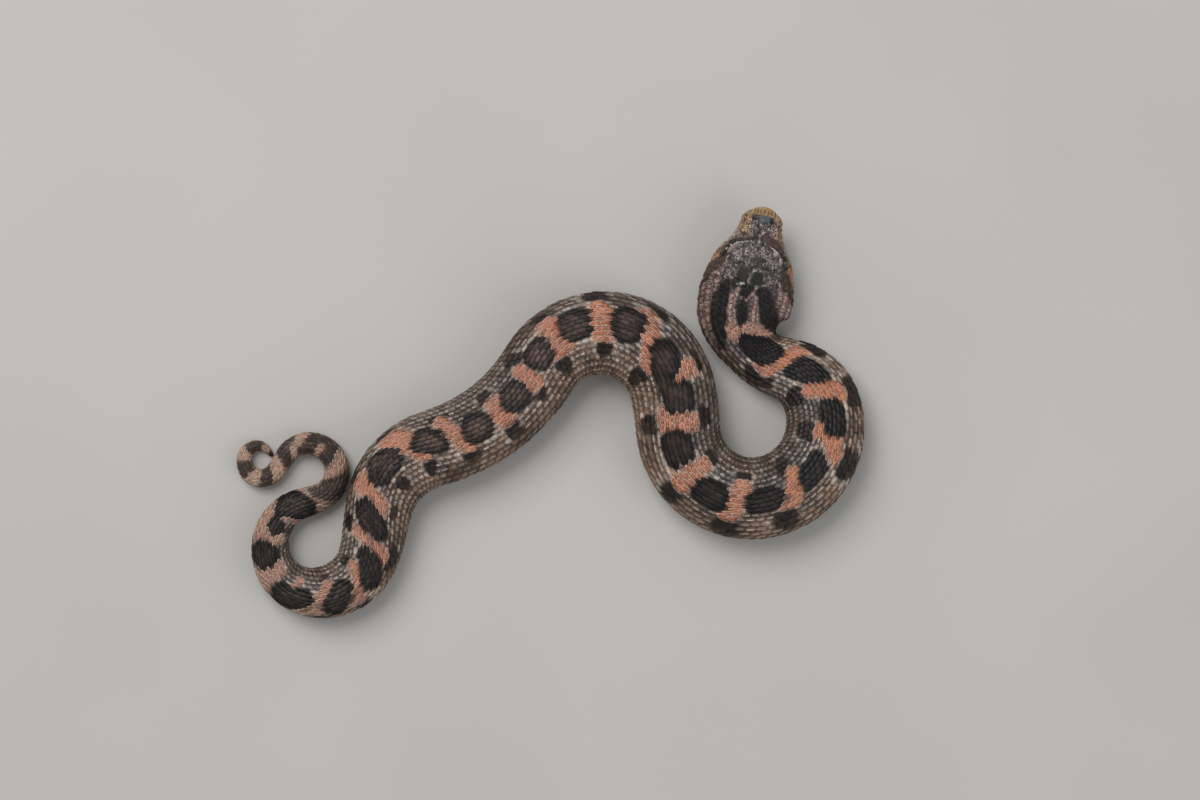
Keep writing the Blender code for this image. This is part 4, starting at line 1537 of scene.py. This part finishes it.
def model_scale():
    """One scale: x across, in breadths of a row, y from root to tip, z up in
    millimetres."""
    bpy.ops.mesh.primitive_grid_add(x_subdivisions=len(LEAF_ACROSS) - 1,
                                    y_subdivisions=len(LEAF_ALONG) - 1, size=1)
    leaf = bpy.context.object
    leaf.name = "scale_pattern"
    bpy.ops.object.mode_set(mode="EDIT")
    bpy.ops.mesh.select_all(action="DESELECT")
    bpy.ops.object.mode_set(mode="OBJECT")
    for corner in leaf.data.vertices:
        column = round((corner.co.x + 0.5) * (len(LEAF_ACROSS) - 1))
        row = round((corner.co.y + 0.5) * (len(LEAF_ALONG) - 1))
        across = LEAF_ACROSS[column]
        dome = LEAF_DOME * (1 - across * across)
        keel = KEEL_HEIGHT[row] * max(0.0, 1 - abs(across) / KEEL_REACH)
        corner.co = (across * LEAF_WIDTH[row], LEAF_ALONG[row], LEAF_RISE[row] + dome + keel)
    bpy.ops.object.mode_set(mode="EDIT")
    bpy.ops.mesh.select_mode(type="EDGE")
    bpy.ops.mesh.select_non_manifold(extend=False)
    bpy.ops.mesh.extrude_edges_move(TRANSFORM_OT_translate={"value": (0, 0, -LEAF_THICK)})
    bpy.ops.mesh.edge_face_add()
    bpy.ops.mesh.select_all(action="SELECT")
    bpy.ops.mesh.normals_make_consistent(inside=False)
    bpy.ops.object.mode_set(mode="OBJECT")
    return leaf


leaf = model_scale()
print("one scale:", len(leaf.data.vertices), "corners,", len(leaf.data.polygons), "faces")

# %% [markdown]
# ## The coat
#
# Scales stand in 27 rows, each row half a scale behind its neighbours, narrow along
# the back and broader towards the belly; the rows thin out down the tail. Copies of
# the one scale are bent on to the sleeve: a point across the scale becomes a point
# across the rows, and a point along it becomes a distance along the snake, so every
# scale lies over the next one and follows each bend, closer on the inside of it and
# more open on the outside. The copies of each strip are joined into one mesh.

# %% Rows and steps

FINE_STEP = 0.05
ROW_PLACES = np.linspace(0, 15, 301)
ROW_BREADTH = 0.90 + 0.65 * smooth_step(ROW_PLACES, 2.5, 9.0)
ROW_REACH = np.concatenate([[0], np.cumsum((ROW_BREADTH[1:] + ROW_BREADTH[:-1]) / 2
                                           * FINE_STEP)])


def row_reach(r):
    """How far from the middle row a row lies, before it is fitted to the girth."""
    return np.interp(np.abs(r), ROW_PLACES, ROW_REACH)


def belly_half(s):
    """Half the breadth of the belly's own shields."""
    width = smooth_through(GIRTH, s, 1) / 2
    return np.interp(s, (14, 24, 34, 200, 225, 279), (0.25, 0.45, 0.62, 0.62, 0.50, 0.50)) * width


def rows_at(s):
    """Rows on each side of the middle row at s."""
    return np.interp(s, (0, 22, 30, 44, 185, 205, 225, 240, 258, 272, 279),
                     (13.5, 13.5, 12.0, 13.5, 13.5, 11.6, 9.0, 7.2, 5.6, 4.4, 3.6))


def row_turn(r, s):
    """The turn at which row r lies at s."""
    girth = girth_at(s)
    roll = np.interp(s, *np.array(ROLL).T) * np.interp(s, (20, 30), (0.0, 1.0))
    edge = girth - belly_half(s)
    room = np.where(r >= 0, edge - roll, edge + roll)
    arc = roll + np.sign(r) * row_reach(r) * room / row_reach(rows_at(s))
    return arc / girth


def pitch_at(s):
    """Distance from one scale of a row to the next."""
    return np.interp(s, (12, 20, 27, 36, 46, 190, 214, 240, 262, 279),
                     (0.90, 0.98, 1.15, 1.42, 1.55, 1.52, 1.40, 1.15, 0.95, 0.70))


def steps_along(start, end):
    """Distances from start to end, half a pitch apart: each row takes every second one."""
    fine = np.arange(start, end, FINE_STEP)
    count = np.concatenate([[0], np.cumsum(FINE_STEP / pitch_at(fine))])[:-1]
    return np.interp(np.arange(0, count[-1], 0.5), count, fine)


HALF_STEPS = steps_along(12.0, 278.2)
print("steps along the snake:", len(HALF_STEPS) // 2)

# %% Joining copies of one shape


def joined_copies(name, pattern, places, inside_out=False):
    """One object made of copies of a pattern's faces, with their corners at places in
    millimetres; inside_out turns the faces round, for places laid in a mirror's order."""
    order = -1 if inside_out else 1
    faces = [tuple(face.vertices)[::order] for face in pattern.polygons]
    size = len(pattern.vertices)
    joined = [tuple(c + size * k for c in face) for k in range(len(places)) for face in faces]
    mesh = bpy.data.meshes.new(name)
    mesh.from_pydata((places.reshape(-1, 3) * MM).tolist(), [], joined)
    mesh.polygons.foreach_set("use_smooth", [True] * len(mesh.polygons))
    mesh.update()
    made = bpy.data.objects.new(name, mesh)
    bpy.context.scene.collection.objects.link(made)
    return made


def flat_map(mesh, name, values):
    """Gives a mesh a flat map from two numbers for each corner."""
    corners = np.empty(len(mesh.loops), int)
    mesh.loops.foreach_get("vertex_index", corners)
    layer = mesh.uv_layers.new(name=name)
    layer.uv.foreach_set("vector", values.reshape(-1, 2)[corners].astype(np.float32).ravel())


print("each copy of the scale has", sum(len(p.vertices) - 2 for p in leaf.data.polygons),
      "triangles")

# %% Painting and unwrapping the copies

PATCH_SIZE = 0.003            # of one scale on the flat map of its strip
OWN_SHARE = 0.35              # how much of a scale's colour comes from its middle


def paint_scales(mesh, roots, s, turn, rng):
    """Marks on every scale: a third from its own middle, the rest from each place on
    it, with every scale a little lighter, darker, warmer or cooler than the next."""
    count = len(roots)
    middle_s = roots[:, 0] + pitch_at(roots[:, 0]) * 0.75
    middle_turn = row_turn(roots[:, 1], middle_s)
    own, banded = snake_colour(middle_s, seen_out(middle_s, middle_turn))
    local, _ = snake_colour(s, seen_out(s, turn))
    bright = own.mean(1)
    dark = 1 - smooth_step(bright, 0.02, 0.06)
    shade = 1 + (0.16 + 0.22 * dark) * rng.standard_normal(count)
    warm = 0.05 * rng.standard_normal(count)
    tone = np.clip(np.stack([shade + warm, shade, shade - warm], -1), 0.55, 1.5)
    mixed = own[:, None, :] * OWN_SHARE + local * (1 - OWN_SHARE)
    colours = mixed * tone[:, None, :]
    colour_layer(mesh, "Marks", colours.reshape(-1, 3))
    each = colours.shape[1]
    # pale streak on the keel: partly the keel's own paler tone, partly a painted highlight
    pale_keel = smooth_step(bright, 0.035, 0.10) * (1 - banded)
    nape = 1 - smooth_step(middle_s, 23, 30)
    pale_keel = pale_keel * rng.uniform(0.20, 0.90, count) ** 1.4 * (1 - 0.85 * nape)
    pale_keel = pale_keel * (1 - 0.4 * smooth_step(np.abs(roots[:, 1]), 5, 10))
    dots = smooth_step(bright, 0.05, 0.12) * (0.35 + 0.65 * nape)
    number_layer(mesh, "Banded", np.repeat(banded, each))
    number_layer(mesh, "Keel", np.repeat(pale_keel, each))
    number_layer(mesh, "Dots", np.repeat(dots, each))
    number_layer(mesh, "Bright", np.repeat(smooth_step(bright, 0.03, 0.11), each))


def unwrap_scales(mesh, roots, pattern):
    """OFBake: a small patch for each scale at its root's place. Leaf: across and along."""
    home = 0.03 + 0.94 * (roots - roots.min(0)) / np.ptp(roots, axis=0)
    breadth = 2 * max(LEAF_WIDTH)
    local = np.stack([pattern[:, 1] - 0.5, pattern[:, 0] / breadth], -1) * PATCH_SIZE
    flat_map(mesh, "OFBake", home[:, None, :] + local[None])
    across = pattern[:, 0] / np.interp(pattern[:, 1], LEAF_ALONG, LEAF_WIDTH)
    shape = np.stack([across * 0.5 + 0.5, pattern[:, 1]], -1)
    flat_map(mesh, "Leaf", np.broadcast_to(shape[None], (len(roots), *shape.shape)))
    mesh.uv_layers.active = mesh.uv_layers["OFBake"]


print("a scale's patch on the map is", PATCH_SIZE, "of its side")

# %% Copying the scale along the rows

OVERLAP = 1.38                # a scale's length in pitches
SIZE_SPREAD, LEAN_SPREAD, RISE_SPREAD = 0.05, 0.04, 0.12
SCALE_LOWEST = 0.03


def scale_roots(rows):
    """Where the scales of some rows are rooted: distance along and row."""
    roots = []
    for r in rows:
        steps = HALF_STEPS[(int(r) % 2)::2]
        keep = np.abs(r) <= rows_at(steps) + 0.1
        arc = np.abs(row_turn(r, steps)) * girth_at(steps)
        keep &= steps >= coat_start(arc) - 0.1
        roots += [(s, r) for s in steps[keep]]
    return np.array(roots)


def lay_scales(name, rows):
    """One strip of the coat: copies of the scale in these rows, joined in one mesh."""
    rng = np.random.default_rng(140 + 7 * int(rows[0]))
    roots = scale_roots(rows)
    count = len(roots)
    pattern = corner_places(leaf.data)
    size = 1 + SIZE_SPREAD * rng.standard_normal((count, 1))
    lean = LEAN_SPREAD * rng.standard_normal((count, 1))
    spread = np.interp(roots[:, :1], (12, 20, 32), (0.80, 0.80, 1.0))
    across = pattern[None, :, 0] * size * spread
    along = pattern[None, :, 1]
    raised = 1 + RISE_SPREAD * np.clip(rng.standard_normal((count, 1)), -2, 1)
    rise = pattern[None, :, 2] * raised
    pitch = pitch_at(roots[:, :1])
    s = np.minimum(roots[:, :1] + along * pitch * OVERLAP * size, TAIL_END - 0.05)
    r = roots[:, 1:] + across + lean * along
    slim = np.interp(s, (10, 30, 240, 279), (0.8, 1.0, 0.9, 0.55))
    flat = 1 - 0.35 * smooth_step(np.abs(r), 8, 13)
    depth = COAT_DEPTH * np.interp(s, *COAT_THINS)
    turn = row_turn(r, s)
    places = on_sleeve(s, turn, rise * slim * flat - depth)
    places[..., 2] = np.clip(places[..., 2], SCALE_LOWEST, UP.max())
    strip = joined_copies(name, leaf.data, places, inside_out=True)
    paint_scales(strip.data, roots, s, turn, rng)
    unwrap_scales(strip.data, roots, pattern)
    return strip


COAT = (
    ("scales_back", range(-3, 4), "body_skin"),
    ("scales_flank_right", range(4, 14), "body_skin"),
    ("scales_flank_left", range(-13, -3), "body_skin"),
)
coat = []
for name, rows, slot in COAT:
    strip = lay_scales(name, list(rows))
    coat.append(strip)
    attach(strip, "root")
    print(name, len(strip.data.polygons) // len(leaf.data.polygons), "scales,",
          sum(len(p.vertices) - 2 for p in strip.data.polygons), "triangles")
bpy.data.objects.remove(leaf)

# %% [markdown]
# ## The finish of the scales
#
# Each scale has its own middle and rim, which its own small map knows. Orange scales
# have a pale rim, so a band looks like a net of cream with orange in it. Ground scales
# have a short pale streak on the keel, partly the keel's own paler tone and partly a
# painted highlight. Nearly black ones have almost neither. A scale is darker at its rim,
# and carries painted shade at its root, where the one in front lies over it.

# %% Scale material


def scale_finish(name):
    """Marks, pale keels (partly a painted highlight) and rims, painted shade at each root,
    specks and the fine lengthwise grain of a keel.
    """
    made = Network(name)
    marks = made.attribute("Marks").outputs["Color"]
    banded = made.attribute("Banded").outputs["Fac"]
    keel = made.attribute("Keel").outputs["Fac"]
    bright = made.attribute("Bright").outputs["Fac"]
    leaf_map = made.node("UVMap", uv_map="Leaf")
    split = made.node("SeparateXYZ")
    made.link(leaf_map.outputs["UV"], split.inputs[0])
    aside = made.sum("ABSOLUTE", made.sum("SUBTRACT", split.outputs["X"], 0.5))
    along = split.outputs["Y"]
    speck = made.noise(3200.0, 2.0)
    spread = made.noise(1250.0, 3.0)
    wander = made.sum("MULTIPLY_ADD", speck, 0.16, -0.08)
    aside = made.sum("ADD", aside, wander)
    rim = made.between(aside, 0.24, 0.40)
    tip = made.between(made.sum("ADD", along, wander), 0.74, 0.93)
    edge = made.sum("MAXIMUM", rim, tip)
    streak = made.sum("SUBTRACT", 1.0, made.between(aside, 0.05, 0.17))
    window = made.sum("MULTIPLY", made.between(along, 0.24, 0.38),
                      made.sum("SUBTRACT", 1.0, made.between(along, 0.82, 0.98)))
    # pale streak on the keel: partly the keel's own paler tone, partly a painted highlight
    lit = made.sum("MULTIPLY", made.sum("MULTIPLY", streak, window), keel)
    pale = made.mix(made.sum("MULTIPLY", lit, 0.85), marks, (*linear(214, 202, 192), 1))
    dull = made.mix(1.0, marks, (0.46, 0.43, 0.42, 1), "MULTIPLY")
    soft = made.sum("MULTIPLY_ADD", bright, 0.27, 0.35)
    fleck = made.sum("MULTIPLY", made.between(made.noise(2300.0, 2.0), 0.52, 0.66), 0.45)
    mottled = made.mix(fleck, pale, made.mix(1.0, pale, (0.40, 0.33, 0.30, 1), "MULTIPLY"))
    dark_rim = made.mix(made.sum("MULTIPLY", edge, soft), mottled, dull)
    rim_tint = made.mix(0.66, marks, (*linear(220, 194, 178), 1))
    deeper = made.mix(made.between(spread, 0.40, 0.62), marks,
                      made.mix(1.0, marks, (0.84, 0.62, 0.55, 1), "MULTIPLY"))
    ridge = made.sum("MULTIPLY", made.sum("SUBTRACT", 1.0, made.between(aside, 0.02, 0.11)),
                     made.between(spread, 0.34, 0.56))
    lined = made.sum("MAXIMUM", edge, made.sum("MULTIPLY", ridge, 0.75))
    light_rim = made.mix(made.sum("MULTIPLY", lined, 0.80), deeper, rim_tint)
    rimmed = made.mix(banded, dark_rim, light_rim)
    # painted shade at the root of each scale, where the one in front lies over it
    root = made.sum("SUBTRACT", 1.0, made.between(along, 0.16, 0.34))
    shaded = made.mix(made.sum("MULTIPLY", root, soft), rimmed,
                      made.mix(1.0, rimmed, (0.34, 0.28, 0.27, 1), "MULTIPLY"))
    dots = made.attribute("Dots").outputs["Fac"]
    dot = made.sum("SUBTRACT", 1.0, made.between(made.cells(2000.0), 0.24, 0.44))
    dotted = made.mix(made.sum("MULTIPLY", made.sum("MULTIPLY", dot, dots), 0.9), shaded,
                      made.mix(1.0, shaded, (0.16, 0.12, 0.11, 1), "MULTIPLY"))
    specked = made.mix(made.sum("MULTIPLY", made.between(speck, 0.48, 0.64), 0.62), dotted,
                       made.mix(1.0, dotted, (0.45, 0.41, 0.39, 1), "MULTIPLY"))
    made.bump(speck, 0.00004, 0.35)
    rough = made.sum("MULTIPLY_ADD", bright, 0.10, 0.50)
    return made.finish(specked, rough, Specular_IOR_Level=0.25)


scale_material = scale_finish("scales")
for strip in coat:
    strip.data.materials.append(scale_material)
print("scale finish:", len(scale_material.node_tree.nodes), "nodes")

# %% [markdown]
# ## The belly shields
#
# Underneath, one broad shield after another crosses the belly, each with its free edge
# towards the tail; past the vent they come in pairs. They hardly show, but the model
# can be picked up. One shield is modelled from a grid as the scale was, flat and thin,
# with its free edge rounded off at the corners, and copied along the belly.

# %% Modelling one belly shield


PLATE_ALONG = (0.0, 0.45, 0.88, 1.0)
PLATE_RISE = (0.0, 0.06, 0.12, 0.09)
PLATE_THICK = 0.07


def model_belly_shield():
    """One shield: x across from -1 to 1, y from root to free edge, z up in millimetres."""
    bpy.ops.mesh.primitive_grid_add(x_subdivisions=14, y_subdivisions=3, size=1)
    plate = bpy.context.object
    plate.name = "belly_pattern"
    for corner in plate.data.vertices:
        across = corner.co.x * 2
        row = round((corner.co.y + 0.5) * 3)
        corner_cut = 1 - 0.30 * abs(across) ** 3
        corner.co = (across, PLATE_ALONG[row] * corner_cut, PLATE_RISE[row])
    bpy.ops.object.mode_set(mode="EDIT")
    bpy.ops.mesh.select_mode(type="EDGE")
    bpy.ops.mesh.select_all(action="DESELECT")
    bpy.ops.mesh.select_non_manifold(extend=False)
    bpy.ops.mesh.extrude_edges_move(TRANSFORM_OT_translate={"value": (0, 0, -PLATE_THICK)})
    bpy.ops.mesh.edge_face_add()
    bpy.ops.mesh.select_all(action="SELECT")
    bpy.ops.mesh.normals_make_consistent(inside=False)
    bpy.ops.object.mode_set(mode="OBJECT")
    return plate


plate = model_belly_shield()
print("one belly shield:", len(plate.data.polygons), "faces")

# %% Copying it along the belly

FIRST_SHIELD, VENT, LAST_PAIR = 23.5, 214.0, 276.5
BROAD_SHIELDS = 122
BROAD_LENGTH = 2.05
PAIR_LAP = 1.3                # a pair's length in steps
BELLY_DEPTH = 0.22            # how deep in the solids the shields are rooted
BELLY_LAP = 1.08              # how far they reach under the lowest rows
BELLY_LOWEST = 0.01


def belly_places():
    """Broad shields to the vent, then pairs: distance along, middle across and half
    breadth as shares of the belly's own, and length."""
    places = []
    for s in np.linspace(FIRST_SHIELD, VENT - 1.6, BROAD_SHIELDS):
        places.append((s, 0.0, 1.0, BROAD_LENGTH))
    s = VENT
    while s < LAST_PAIR:
        step = float(np.interp(s, (214, 240, 262, 279), (1.5, 1.25, 1.0, 0.7)))
        places.append((s, -0.5, 0.54, step * PAIR_LAP))
        places.append((s + step * 0.5, 0.5, 0.54, step * PAIR_LAP))
        s += step
    return np.array(places)


def lay_belly():
    """All the belly's shields in one mesh."""
    home = belly_places()
    pattern = corner_places(plate.data)
    s = np.minimum(home[:, :1] + pattern[None, :, 1] * home[:, 3:], TAIL_END - 0.1)
    across = home[:, 1:2] + pattern[None, :, 0] * home[:, 2:3]
    turn = 1 - across * belly_half(s) * BELLY_LAP / girth_at(s)
    thin = np.interp(s, (240, 279), (1.0, 0.5))
    places = on_sleeve(s, turn, (pattern[None, :, 2] - BELLY_DEPTH) * thin)
    places[..., 2] = np.maximum(places[..., 2], BELLY_LOWEST)
    belly = joined_copies("belly_shields", plate.data, places)
    paint_belly(belly.data, home, s.ravel(), turn.ravel())
    u = 0.02 + 0.96 * (s.ravel() - s.min()) / np.ptp(s)
    v = 0.5 + 0.46 * np.clip(across.ravel(), -1, 1)
    flat_map(belly.data, "OFBake", np.stack([u, v], -1))
    return belly


def paint_belly(mesh, home, s, turn):
    """Marks on the belly's shields: partly the place's own, partly one for each shield."""
    local, _ = snake_colour(s, seen_out(s, turn))
    own, _ = snake_colour(home[:, 0] + 1.0, half_breadth(home[:, 0]) * 1.5)
    colours = local.reshape(len(home), -1, 3) * 0.6 + own[:, None] * 0.4
    colour_layer(mesh, "Marks", colours.reshape(-1, 3))
    number_layer(mesh, "Bare", np.ones(len(s)))
    number_layer(mesh, "Pepper", np.full(len(s), 0.3))


belly = lay_belly()
bpy.data.objects.remove(plate)
belly.data.materials.append(skin_finish("belly_skin"))
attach(belly, "root")
print("belly:", len(belly_places()), "shields,", len(belly.data.polygons), "faces")

# %% Finish
